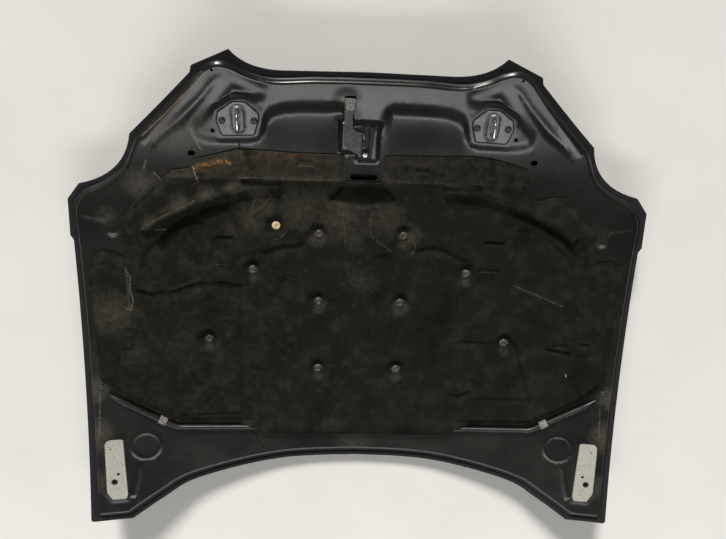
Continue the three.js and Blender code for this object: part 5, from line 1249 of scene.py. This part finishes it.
def addPadForms():
    p = pad
    far = p["earX"] + 20
    bandY = behind(p["bandBehind"])
    band = [(far, bonnet["nose"]), (-far, bonnet["nose"]), (-far, bandY), (far, bandY)]
    addForm(padForms, band, -p["bandDrop"], p["bandWall"])
    addForm(padForms, lensLoop, -p["lensDepth"], p["lensWall"])
    crest = splinePoints(fromNose(p["crest"]), p["crestStep"])
    addForm(padForms, strip(crest, p["crestHalf"]), p["crestHeight"], p["crestWall"], True)
    field = roundedLoop(fromNose(p["field"]), p["fieldRound"])
    addForm(padForms, field, -p["fieldDrop"], p["fieldWall"], True)
    for name in ("leftBox", "rightBox", "earPatch", "frontPatch"):
        corners, rise, wall = p[name]
        addForm(padForms, roundedLoop(corners, p["boxRound"]), rise, wall, name.endswith("Patch"))
    (x, y, length, width), rise, wall = p["slot"]
    addForm(padForms, slotLoop(x, y, length, width), rise, wall)
    for corners, rise, wall in p["slots"]:
        addForm(padForms, roundedLoop(fromNose(corners), p["slotRound"]), rise, wall)
    for x, y, radius, rise, wall in p["rounds"]:
        addForm(padForms, arcPoints(x, y, radius, p["roundPoints"]), rise, wall)


addPadForms()


def clipDistance(points):
    away = [np.hypot(points[:, 0] - x, points[:, 1] - y) for x, y in clipPlaces + [washerPlace]]
    return np.min(away, axis=0)


def lapShare(points):
    p = pad
    across = clamp01((p["lapHalf"] + 2 * p["lapFade"] - np.abs(points[:, 0])) / p["lapFade"])
    reach = p["lapLift"] + seal["radius"] + p["sealGap"]
    share = np.zeros(len(points))
    near = (across > 0) & (points[:, 1] < seal["middleY"] + 60)
    if near.any():
        toSeal = lineDistance(sealRoute, points[near])
        share[near] = across[near] * clamp01((reach - toSeal) / p["lapLift"])
    return share


def padUnderside(points):
    p = pad
    seated = clamp01((clipDistance(points) - p["clipFlat"]) / p["clipFlat"])
    return panelHeight(points) + mix(p["seatGap"], p["gap"], seated) + p["lapLift"] * lapShare(points)


def padThickness(points):
    p = pad
    loft = np.full(len(points), float(p["loft"]))
    for loop, amount, wall in padForms:
        loft += amount * ramp(loop, wall, points)
    rim = smooth((depthInside(padEdge, points) - p["rimBand"]) / p["rimWall"])
    for line, drop, reach in p["steps"]:
        near = lineDistance(line, points)
        loft -= drop * smooth(1 - near / reach) * (points[:, 1] < np.interp(points[:, 0], *np.array(line).T))
    dimple = smooth((clipDistance(points) - p["clipFlat"]) / (p["dimple"] - p["clipFlat"]))
    return p["pinch"] + np.maximum(0, loft) * rim * dimple * (1 - lapShare(points))


def padTop(points):
    return padUnderside(points) + padThickness(points)


padMarks = {
    # road dust, with dust just behind four clips that also paints the lit rear side of their dimples: x, y,
    # radius, strength
    "dustAndPaintedLight": [(-60, 890, 170, 0.68), (-160, 900, 130, 0.66), (60, 880, 140, 0.6), (128, 840, 70, 0.75),
             (-290, 880, 100, 0.66), (-340, 850, 70, 0.5), (-250, 905, 70, 0.66), (-265, 940, 60, 0.75),
             (-116, 825, 60, 0.7), (-20, 820, 90, 0.5), (-113, 640, 60, 0.5), (110, 632, 60, 0.62),
             (0, 720, 190, 0.42), (-651, 620, 130, 0.75), (-600, 500, 120, 0.5), (651, 620, 80, 0.35),
             (-470, 918, 60, 0.7), (-400, 942, 55, 0.75), (-330, 960, 50, 0.7), (-540, 866, 50, 0.6),
             (0, 500, 260, 0.3), (-560, 700, 100, 0.4), (-380, 760, 140, 0.4), (560, 720, 80, 0.2),
             (110, 430, 40, 0.5), (-112, 430, 40, 0.5), (408, 524, 40, 0.5), (288, 720, 40, 0.5)],
    # rust water from the nose: line, half width, strength
    "rustAndHighlight": [([(-416, 1012), (-395, 1016), (-365, 1024), (-338, 1022)], 9, 1.0),
             ([(-420, 1000), (-390, 1000), (-350, 1008)], 8, 0.75), ([(-390, 990), (-386, 950)], 3, 0.6),
             ([(-350, 1044), (-300, 1050), (-233, 1045), (-150, 1043)], 3, 0.85),
             ([(-240, 1032), (-240, 1012)], 6, 0.7), ([(-215, 1040), (-180, 1036)], 5, 0.7),
             ([(-400, 960), (-340, 985)], 14, 0.4)],
    # scrim rubbed through along the edges of the forms, and painted highlights on the lit lips of the crest,
    # the band's step and the lens: line, half width, strength
    "wearAndHighlight": [([(-566, 845), (-526, 872), (-468, 902), (-427, 923)], 5, 0.8),
             ([(-427, 923), (-368, 942), (-305, 957), (-250, 966)], 3.4, 0.6),
             ([(-316, 984), (-206, 985)], 2.4, 0.8), ([(-200, 981), (-60, 980)], 2.4, 0.6),
             ([(60, 981), (310, 981)], 2.4, 0.6),
             ([(-608, 750), (-608, 709), (-608, 668), (-606, 634)], 3, 0.8),
             ([(-110, 914), (0, 911), (100, 916)], 4, 0.6),
             ([(250, 964), (305, 955), (368, 939), (427, 918)], 3, 0.5),
             ([(415, 711), (553, 659)], 3.5, 0.75), ([(-170, 1015), (-129, 1016)], 2, 0.8),
             ([(129, 1024), (168, 1025)], 2, 0.6), ([(131, 1003), (170, 1004)], 2, 0.6),
             ([(141, 818), (146, 805), (138, 790)], 1.8, 1.0), ([(-528, 845), (-503, 847)], 3, 1.0),
             ([(-382, 752), (-341, 752)], 3, 0.8), ([(310, 744), (365, 746)], 3.5, 0.7),
             ([(-610, 739), (-600, 724), (-602, 680), (-596, 657), (-603, 628), (-618, 635)], 3, 1.0),
             ([(-681, 748), (-658, 748)], 2.4, 0.7), ([(529, 521), (578, 515)], 2.6, 0.7),
             ([(610, 506), (634, 508)], 2, 0.6),
             ([(-273, 941), (-292, 886), (-254, 914), (-236, 941)], 3, 0.8),
             ([(-240, 818), (-216, 825), (-198, 844)], 2.6, 0.7), ([(-487, 675), (-492, 567)], 2.4, 0.4),
             ([(-51, 903), (-41, 808)], 4, 0.7), ([(20, 884), (30, 830), (80, 795)], 4, 0.7),
             ([(-480, 965), (-458, 975), (-436, 958), (-415, 975)], 2.4, 0.7),
             ([(430, 985), (460, 955), (500, 960)], 2.4, 0.6)],
    # painted shade: near black laid in the folds, under the crest and in the slots, where shade falls: line,
    # half width, strength
    "paintedShade": [([(-350, 905), (-392, 892), (-431, 876), (-465, 861), (-502, 830), (-518, 804)], 12, 0.7),
             ([(-379, 827), (-339, 827)], 4, 1.0),
             ([(-582, 678), (-547, 669), (-487, 677), (-447, 693), (-394, 699), (-320, 690)], 6, 0.6),
             ([(298, 540), (436, 545), (452, 485), (471, 436), (486, 381)], 5, 0.4),
             ([(522, 532), (587, 524)], 5, 1.0), ([(605, 549), (638, 552)], 3, 0.8),
             ([(266, 380), (288, 374), (320, 387)], 7, 0.6), ([(-305, 970), (-215, 971)], 6, 1.0),
             ([(210, 970), (305, 970)], 6, 0.8), ([(152, 799), (189, 809), (222, 802), (274, 776)], 7, 0.6),
             ([(32, 774), (70, 786)], 5, 0.5), ([(-256, 786), (-214, 799), (-160, 806)], 8, 0.6),
             ([(329, 827), (378, 827)], 4, 1.0), ([(-222, 712), (-197, 724), (-173, 718)], 5, 0.6),
             ([(626, 470), (626, 400)], 44, 0.5), ([(400, 905), (470, 880), (530, 845), (565, 810)], 9, 0.8),
             ([(-424, 985), (-380, 975), (-330, 985)], 12, 0.5)],
    # scrim and felt torn to the pale fibre: line, half width, strength
    "torn": [([(-428, 1010), (-426, 995), (-416, 971)], 2.6, 1.0), ([(-428, 1019), (-404, 1026)], 2.2, 0.6),
             ([(-404, 1027), (-366, 1037)], 2.2, 0.7), ([(-415, 1000), (-408, 985)], 3, 0.7),
             ([(583, 462), (584, 454)], 2.5, 1.0)],
    # dust on the front band and over the left and right halves, less on the right so as to paint that half in
    # shade; wear of the front edge at left and right
    "bandDust": 0.68, "leftDustAndLight": 0.33, "rightDustAndShade": 0.06, "edgeWear": (1.0, 0.75),
    "leftEnd": -300, "rightEnd": 300, "edgeFrom": 900, "edgeWidth": 1.7,
    # each clip has painted shade on its front side, and dust behind it that also stands in for the lit rear
    # side of its dimple as a painted highlight: shift, radius, strength
    "clipShade": (18, 26, 0.8), "clipDustAndHighlight": (-22, 38, 0.55),
    "creaseLimit": 8, "edgeCreases": (1.6, 4.5),  # widest mark with mesh lines, and lines along the edge
}


def insulationPad():
    m = padMarks
    creases = formCreases(padForms) + [closedLine(mitred(padEdge, inset)) for inset in m["edgeCreases"]]
    for name in ("rustAndHighlight", "wearAndHighlight", "torn", "paintedShade"):
        creases += lineCreases([mark for mark in m[name] if mark[1] < m["creaseLimit"]])
    net, triangles = planMesh(padEdge, clipHoles(), creases, pad["step"])
    under = padUnderside(net)
    toEdge = depthInside(padEdge, net)
    top = under + padThickness(net) - pad["edgeDrop"] * smooth(1 - toEdge / pad["edgeReach"])
    share = smooth((net[:, 0] - m["leftEnd"]) / (m["rightEnd"] - m["leftEnd"]))
    # dust that fades from left to right, painting the right half in shade
    dustAndPaintedLight = np.maximum(blobs(net, m["dustAndPaintedLight"]), mix(m["leftDustAndLight"], m["rightDustAndShade"], share))
    inBand = net[:, 1] > behind(pad["bandBehind"])
    dustAndPaintedLight = np.maximum(dustAndPaintedLight, np.where(inBand, m["bandDust"] * mix(1, 0.6, share), 0))
    front = (net[:, 1] > m["edgeFrom"]) & (toEdge < m["edgeWidth"])
    # worn edges, and painted highlights along the lit crest, band step and lens lip
    wearAndHighlight = np.maximum(drawLines(net, m["wearAndHighlight"]), np.where(front, mix(*m["edgeWear"], share), 0))
    # painted shade along the folds and over the whole lens recess
    paintedShade = np.maximum(drawLines(net, m["paintedShade"]), ramp(lensLoop, pad["lensWall"], net))
    shadeShift, *shadePatch = m["clipShade"]
    lipShift, *lipPatch = m["clipDustAndHighlight"]
    # painted shade on each clip's front side, where its dimple is in shade
    paintedShade = np.maximum(paintedShade, blobs(net, [(x, y + shadeShift, *shadePatch) for x, y in clipPlaces]))
    # dust behind each clip, partly a painted highlight on the lit rear side of its dimple
    dustAndPaintedLight = np.maximum(dustAndPaintedLight, blobs(net, [(x, y + lipShift, *lipPatch) for x, y in clipPlaces]))
    marks = {"dustAndPaintedLight": dustAndPaintedLight, "rustAndHighlight": drawLines(net, m["rustAndHighlight"]), "wearAndHighlight": wearAndHighlight, "torn": drawLines(net, m["torn"]),
             "paintedShade": paintedShade}
    marks = {name: np.tile(values, 2) for name, values in marks.items()}
    sheet = closedSheet(triangles, np.c_[net, top], np.c_[net, under])
    piece = makePiece("felt_pad", sheet, materials["felt"], stands=["insulation_pad"],
                      marks=marks, sharpAngle=60)


insulationPad()
print("felt pad made")


def sealCentre(points):
    foot = np.c_[points, panelHeight(points)]
    return foot + crownNormal(points) * (seal["gap"] + seal["radius"])


def rearSeal():
    route = splinePoints(sealRoute, seal["step"])
    path = sealCentre(route)
    run = np.concatenate([[0], np.cumsum(np.linalg.norm(np.diff(path, axis=0), axis=1))])
    # the bulb is a little uneven, and it is squeezed flat where it ends
    swell = 1 + sum(share * np.sin(run / length + shift) for share, length, shift in seal["waves"])
    squeezed = mix(seal["squeeze"], 1, smooth(np.minimum(run, run[-1] - run) / seal["squeezeReach"]))
    path[:, 2] -= seal["radius"] * (1 - squeezed)
    bulb = tube(path, seal["radius"] * swell * squeezed, seal["points"])
    makePiece("rear_bulb_seal", bulb, materials["rubber"], stands=["rear_seal"])


def sealClips():
    for side, word in bothSides:
        start, end = [sealCentre(np.array([[side * x, y]], float))[0] for x, y in sealRight[5:7]]
        middle = mix(start, end, seal["clipShare"])
        along = (end - start) / np.linalg.norm(end - start)
        up = crownNormal(middle[None, :2])[0]
        across = np.cross(up, along)
        across /= np.linalg.norm(across)
        up = np.cross(along, across)
        inner = seal["radius"] * seal["clipRoom"] + bonnet["seam"] + seal["clearance"]
        outer = inner + seal["clipWall"]
        foot = -seal["radius"] - seal["gap"] + bonnet["seam"]
        arc = np.linspace(0, math.pi, seal["clipPoints"])
        section = []
        for radius, way in ((outer, 1), (inner, -1)):
            section.append((way * radius, foot))
            section += [(way * radius * math.cos(a), radius * math.sin(a)) for a in arc]
            section.append((-way * radius, foot))
        half, bevel, pinch = seal["clipLength"] / 2, seal["clipBevel"], seal["clipPinch"]
        rings = []
        for shift, grow in ((-half, pinch), (-half + bevel, 1), (half - bevel, 1), (half, pinch)):
            rings.append(np.array([
                middle + across * u * grow + up * v * (grow if v > 0 else 1) + along * shift
                for u, v in section]))
        makePiece(f"seal_saddle_{word}", ringMesh(rings), materials["saddle"],
                  stands=[f"seal_clip_{word}"])


rearSeal()
sealClips()
print("rear seal made")

# Push clips and the bare clip that has lost its cap
pushClip = {
    "profile": [(0, -12.4), (2, -12.4), (4.6, -6.4), (3.4, -6.2), (3.4, -0.4), (11.2, 0), (12, 0.5),
                (12, 1.2), (11.4, 1.7), (9.6, 2.2), (8.6, 3.2), (7.6, 3.9), (6.4, 4.1), (5.2, 3.7),
                (4.2, 2.4), (3.4, 1.9), (0, 1.8)],
    "bare": [(0, -12.4), (2, -12.4), (4.6, -6.4), (3.4, -6.2), (3.4, -0.2), (10.6, 0), (11, 0.4), (10.7, 1.2),
             (9.8, 1.6), (3.4, 1.6), (2.5, 1.2), (2.4, -1.4), (0, -1.5)],
}


def standing(part, x, y, heights):
    # a part stood square on a surface, a seam's gap above it
    spot = np.array([[x, y]], float)
    normal = crownNormal(spot)[0]
    foot = np.array([x, y, heights(spot)[0]]) + normal * bonnet["seam"]
    return part[0] @ tiltTo(normal).T + foot, part[1]


def clips():
    for i, (x, y) in enumerate(clipPlaces):
        part = standing(turned(pushClip["profile"], 36), x, y, padTop)
        makePiece(f"pad_clip_{i + 1}", part, materials["clip"],
                  stands=[f"push_clip_{i + 1}"])
    part = standing(turned(pushClip["bare"], 36), *washerPlace, padTop)
    makePiece("capless_clip", part, materials["cream"], stands=["bare_clip"])


clips()
print("clips made")

# Plugs beside the ends of the seal
plugProfile = [(0, -7), (2.2, -7), (2.6, -6), (2.6, -0.2), (6.4, 0), (7, 0.5), (7, 1.2), (6.3, 3.6), (5.6, 4),
               (4.2, 4), (3.2, 3.4), (2.6, 1.4), (0, 1.2)]


def sidePlugs():
    x, y, _ = holes["plug"]
    for side, word in bothSides:
        part = standing(turned(plugProfile, 32), side * x, y, panelHeight)
        makePiece(f"push_plug_{word}", part, materials["clip"], stands=[f"side_plug_{word}"])


sidePlugs()
print("plugs made")


# Striker plates, loops and bolts
def strikerPlatePart(side):
    s = striker
    length, width = s["boss"]
    bossLoop = counterClockwise(slotLoop(0, 0, length, width, s["bossPoints"])[:, ::-1])
    grooveLoop = mitred(bossLoop, -s["grooveWidth"])
    loop = roundedLoop(onSide(side, s["outline"]), s["corner"])
    bolts, feet = s["boltSpan"], s["loopSpan"] / 2
    cut = [arcPoints(u, s["boltForward"], s["boltHole"], circle["plate"]) for u in (bolts, -bolts)]
    cut += [arcPoints(0, v, s["wire"] + s["footGap"], circle["plate"]) for v in (feet, -feet)]

    def raised(points):
        boss = (s["bossHeight"] + s["groove"]) * ramp(bossLoop, s["bossWall"], points)
        return boss - s["groove"] * ramp(grooveLoop, s["grooveWall"], points)

    return plateMesh(loop, cut, s["plate"], s["bevel"], s["step"], raised)


def strikerLoopPart():
    s = striker
    bossTop = s["plate"] + s["bossHeight"]
    top = bossTop + s["loopHeight"] - s["wire"]
    reach = s["loopSpan"] / 2
    bend = s["loopBend"]
    path = [(0, reach, z) for z in (0, bossTop / 2, bossTop, top - bend - s["loopStraight"])]
    for a in np.linspace(0, math.pi / 2, s["bendPoints"]):
        path.append((0, reach - bend * (1 - math.cos(a)), top - bend * (1 - math.sin(a))))
    path += [(0, -y, z) for _, y, z in path[::-1]]
    return tube(path, s["wire"], s["wirePoints"], up=(1, 0, 0))


# Flange bolt: hexagon across flats, flange radius, shank radius
flangeBolt = {
    "across": 13, "head": 6.5, "flange": 8.5, "flangeHeight": 1.6, "shank": 4, "length": 14, "points": 48,
}


def disc(radius, height):
    count = flangeBolt["points"]
    return np.c_[arcPoints(0, 0, radius, count), np.full(count, float(height))]


def hexRing(across, height, limit=math.inf):
    # hexagon whose corners are turned down to a limiting radius
    count = flangeBolt["points"]
    angles = 2 * math.pi * np.arange(count) / count
    flat = (angles + math.pi / 6) % (math.pi / 3) - math.pi / 6
    radius = np.minimum(across / 2 / np.cos(flat), limit)
    return np.c_[radius * np.cos(angles), radius * np.sin(angles), np.full(count, float(height))]


def boltPart():
    f = flangeBolt
    top = f["head"]
    rings = [
        disc(f["shank"] * 0.8, -f["length"]), disc(f["shank"], -f["length"] + 1), disc(f["shank"], -0.1),
        disc(f["flange"] - 0.3, 0), disc(f["flange"], 0.4), disc(f["flange"], 0.9),
        disc(f["flange"] - 0.5, f["flangeHeight"]), hexRing(f["across"], f["flangeHeight"] + 0.5, 7.3),
        hexRing(f["across"], top - 1.1), hexRing(f["across"], top - 0.3, f["across"] / 2 + 0.2),
        disc(f["across"] / 2 - 0.6, top), disc(f["across"] / 2 - 1.6, top - 0.1), disc(2, top - 0.6),
    ]
    return ringMesh(rings)


def placed(part, seat, lift, x=0.0, y=0.0):
    return onSeat(seat, part[0] + [x, y, 0], lift), part[1]


def strikers():
    s = striker
    for side, word in bothSides:
        seat = strikerSeats[side]
        lift = bonnet["seam"]
        makePiece(f"striker_base_{word}", placed(strikerPlatePart(side), seat, lift), materials["plate"],
                  stands=[f"striker_plate_{word}"])
        makePiece(f"striker_wire_{word}", placed(strikerLoopPart(), seat, lift), materials["loop"],
                  stands=[f"striker_loop_{word}"])
        for k, u in enumerate((s["boltSpan"], -s["boltSpan"])):
            part = placed(boltPart(), seat, lift + s["plate"] + bonnet["seam"], u, s["boltForward"])
            makePiece(f"flange_bolt_{word}_{k + 1}", part, materials["bolt"],
                      stands=[f"striker_bolt_{word}_{k + 1}"])


strikers()
print("strikers made")


# Safety catch: bracket, lever with its hook, pivot pin, torsion spring and rivet
def onCatch(part, lift=0.0, x=0.0, y=0.0):
    return onSeat(catchSeat, part[0] + [x, y - catch["middle"], 0], bonnet["seam"] + lift), part[1]


def leverLoop():
    c = catch
    left = -c["plateLeft"]
    strapRight = left + c["strap"]
    fingerRight = left + c["finger"]
    hookLeft = -c["springCoil"] + c["springWire"] + bonnet["seam"]
    hookFront = c["hookForward"] + c["hookWidth"] / 2
    turns = np.linspace(*c["eyeTurn"], c["eyePoints"])
    eye = [(c["eye"] * math.cos(a), c["eye"] * math.sin(a)) for a in turns * math.pi]
    rest = [
        (hookLeft + c["hook"], hookFront + bonnet["seam"]), (mix(strapRight, hookLeft, 0.5), c["plateFront"]),
        (strapRight, c["plateFront"] + c["fillet"]), (strapRight, c["strapFront"]),
        (fingerRight, c["strapFront"] + c["fillet"] / 2), (fingerRight, c["fingerFront"]),
        (left, c["fingerFront"]), (left, c["plateRear"] + c["chamfer"]),
        (left + c["chamfer"], c["plateRear"]),
    ]
    return roundedLoop(eye + rest, c["round"]), hookLeft


def leverPart():
    c = catch
    loop, hookLeft = leverLoop()
    pinHole = arcPoints(0, 0, c["pin"] + c["clearance"], circle["plate"])
    plate = plateMesh(loop, [pinHole], c["lever"], c["leverBevel"], c["leverStep"])
    rear = c["hookForward"] - c["hookWidth"] / 2
    front = c["hookForward"] + c["hookWidth"] / 2
    reach = c["hookForward"] + c["hookReach"]
    lip = c["hookHeight"] - c["hookLip"]
    profile = [
        (rear, c["hookFoot"]), (front, c["hookFoot"]), (c["hookForward"] + 2, c["hookHeight"] / 3),
        (c["hookForward"], lip), (reach, lip),
        (reach - c["hookSlope"], c["hookHeight"] - c["hookSlope"] / 2), (c["hookForward"], c["hookHeight"]),
        (rear, c["hookHeight"] - c["hookSlope"]),
    ]
    upright = roundedLoop(profile, c["hookRound"])
    verts, faces = plateMesh(upright, [], c["hook"], c["leverBevel"], c["leverStep"])
    return joined(plate, (np.c_[hookLeft + verts[:, 2], verts[:, 0], verts[:, 1]], faces))


def springPart():
    c = catch
    bottom = c["bracket"] + c["leverGap"] + c["lever"] + bonnet["seam"] + c["springWire"]
    top = bottom + c["springTurns"] * c["springPitch"]
    steps = int(c["springTurns"] * c["turnPoints"])
    path = [(c["springCoil"], c["front"] * k / 6, bottom) for k in range(6, 0, -1)]
    for i in range(steps + 1):
        angle = -2 * math.pi * c["springTurns"] * i / steps
        x, y = c["springCoil"] * math.cos(angle), c["springCoil"] * math.sin(angle)
        path.append((x, y, mix(bottom, top, i / steps)))
    last = path[-1]
    path += [(last[0], c["hookForward"] * k / 5, top) for k in range(1, 6)]
    return tube(path, c["springWire"], c["springPoints"]), top


def safetyCatch():
    c = catch
    tabLeft = c["springCoil"] + c["springWire"] + bonnet["seam"]
    tabRight = tabLeft + c["tabWidth"]
    bracketLoop = roundedLoop([(-c["eye"], -c["rear"]), (c["bracketHalf"], -c["rear"]),
                               (c["frontRight"], c["front"]), (-c["frontLeft"], c["front"])], c["round"])
    rivetX, rivetY = c["rivet"]
    cuts = [arcPoints(0, 0, c["pin"] + c["clearance"], circle["plate"]),
            arcPoints(rivetX, rivetY, c["rivetRadius"] + c["clearance"], circle["panel"])]
    base = plateMesh(bracketLoop, cuts, c["bracket"], c["bevel"])
    tabLoop = roundedLoop([(tabLeft, c["tabFoot"]), (tabRight, c["tabFoot"]), (tabRight, c["tabHeight"]),
                           (tabLeft, c["tabHeight"])], c["tabRound"])
    tabVerts, tabFaces = plateMesh(tabLoop, [], c["bracket"], c["bevel"])
    tab = (np.c_[tabVerts[:, 0], c["front"] - tabVerts[:, 2], tabVerts[:, 1]], tabFaces)
    makePiece("catch_base", onCatch(joined(base, tab)), materials["blackSteel"],
              stands=["catch_bracket"])
    lever = leverPart()
    # the finger pad is rubbed most, the strap a little, the upright hook not at all
    forward, flat = lever[0][:, 1], lever[0][:, 2] < 10
    fingerRub = smooth((forward - c["strapFront"] - 4) / 6)
    strapRub = 0.35 * smooth((forward - c["plateFront"]) / 8)
    rubbed = np.maximum(fingerRub, strapRub) * flat
    makePiece("catch_hook_lever", onCatch(lever, c["bracket"] + c["leverGap"]), materials["lever"],
              body="safety_catch", stands=["catch_lever"], marks={"bare": rubbed})
    spring, top = springPart()
    makePiece("catch_coil_spring", onCatch(spring), materials["blackSteel"],
              stands=["catch_spring"])
    under = top + c["springWire"] + bonnet["seam"]
    pinTop = under + c["pinHeadHeight"]
    pin = turned([(0, 0), (c["pin"], 0.05), (c["pin"], under), (c["pinHead"] - 0.4, under + 0.05),
                  (c["pinHead"], under + 0.6), (c["pinHead"] * 0.86, pinTop - 0.4),
                  (c["pinHead"] * 0.4, pinTop), (0, pinTop)], 32)
    makePiece("catch_pin", onCatch(pin), materials["loop"], stands=["catch_pivot_pin"])
    head = c["bracket"] + bonnet["seam"]
    rivetTop = head + c["rivetHeadHeight"]
    rivet = turned([(0, 0), (c["rivetRadius"], 0.05), (c["rivetRadius"], head), (c["rivetHead"], head + 0.05),
                    (c["rivetHead"] * 0.9, head + 1), (c["rivetHead"] * 0.5, rivetTop - 0.1),
                    (0, rivetTop)], 28)
    makePiece("catch_base_rivet", onCatch(rivet, 0, rivetX, rivetY), materials["bolt"],
              stands=["catch_rivet"])


safetyCatch()
print("safety catch made")

# Plates and nuts that stay hidden between skin and panel keep their solids
for nodeName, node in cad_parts.items():
    if not node.hide_render:
        node.data.materials.clear()
        node.data.materials.append(materials["bolt"] if "nut" in nodeName else materials["primer"])


# Floor, lamps and camera
studio = {
    "floorReach": 9,
    # low soft light from the nose, for the forms; softbox behind, whose reflection lies on the nose beam
    "keyHeight": 28, "keyTurn": -12, "keyDistance": 5, "keyStrength": 4.3, "keySpread": 12,
    "keyColour": "#fffdf9", "boxColour": "#fafaf8", "skyColour": "#f5f4f0",
    "boxPlace": (-0.3, -5.5, 4.9), "boxAim": (0, 0.45, 0.1), "boxSize": (8, 1.7), "boxPower": 270,
    "sky": 0.15,
    # the photo's focal length and width in pixels, and where it was taken from
    "focal": 620, "photoWidth": 726, "sensor": 36,
    "cameraPlace": (-0.07126, 0.54617, 1.64524), "cameraTurn": (-15.566, -2.244, 1.918), "nearClip": 0.05,
}


def paleFloor():
    reach = studio["floorReach"]
    mesh = bpy.data.meshes.new("floor")
    corners = [(-reach, -reach, 0), (reach, -reach, 0), (reach, reach, 0), (-reach, reach, 0)]
    mesh.from_pydata(corners, [], [(0, 1, 2, 3)])
    mesh.materials.append(materials["floor"])
    floor = bpy.data.objects.new("floor", mesh)
    bpy.context.scene.collection.objects.link(floor)


def addLamp(name, kind, place, aim, power, colour):
    data = bpy.data.lights.new(name, kind)
    data.energy = power
    data.color = toLinear(colour)[:3]
    lamp = bpy.data.objects.new(name, data)
    lamp.location = place
    lamp.rotation_euler = (Vector(aim) - Vector(place)).to_track_quat("-Z", "Y").to_euler()
    bpy.context.scene.collection.objects.link(lamp)
    return data


def addLamps():
    s = studio
    height, turn = math.radians(s["keyHeight"]), math.radians(s["keyTurn"])
    level = s["keyDistance"] * math.cos(height)
    keyPlace = (level * math.sin(turn), level * math.cos(turn), s["keyDistance"] * math.sin(height))
    key = addLamp("nose_light", "SUN", keyPlace, (0, 0, 0), s["keyStrength"], s["keyColour"])
    key.angle = math.radians(s["keySpread"])
    box = addLamp("rear_softbox", "AREA", s["boxPlace"], s["boxAim"], s["boxPower"], s["boxColour"])
    box.shape = "RECTANGLE"
    box.size, box.size_y = s["boxSize"]
    world = bpy.data.worlds.new("studio")
    bpy.context.scene.world = world
    world.use_nodes = True
    sky = world.node_tree.nodes["Background"]
    sky.inputs["Color"].default_value = toLinear(s["skyColour"])
    sky.inputs["Strength"].default_value = s["sky"]


def addCamera():
    s = studio
    camera = bpy.data.objects.new("camera", bpy.data.cameras.new("camera"))
    camera.data.sensor_fit = "HORIZONTAL"
    camera.data.sensor_width = s["sensor"]
    camera.data.lens = s["sensor"] * s["focal"] / s["photoWidth"]
    camera.data.clip_start = s["nearClip"]
    camera.location = s["cameraPlace"]
    camera.rotation_euler = [math.radians(a) for a in s["cameraTurn"]]
    bpy.context.scene.collection.objects.link(camera)
    bpy.context.scene.camera = camera


paleFloor()
addLamps()
addCamera()
bpy.context.scene.view_settings.view_transform = "Standard"
print("studio made")

print("scene ready")
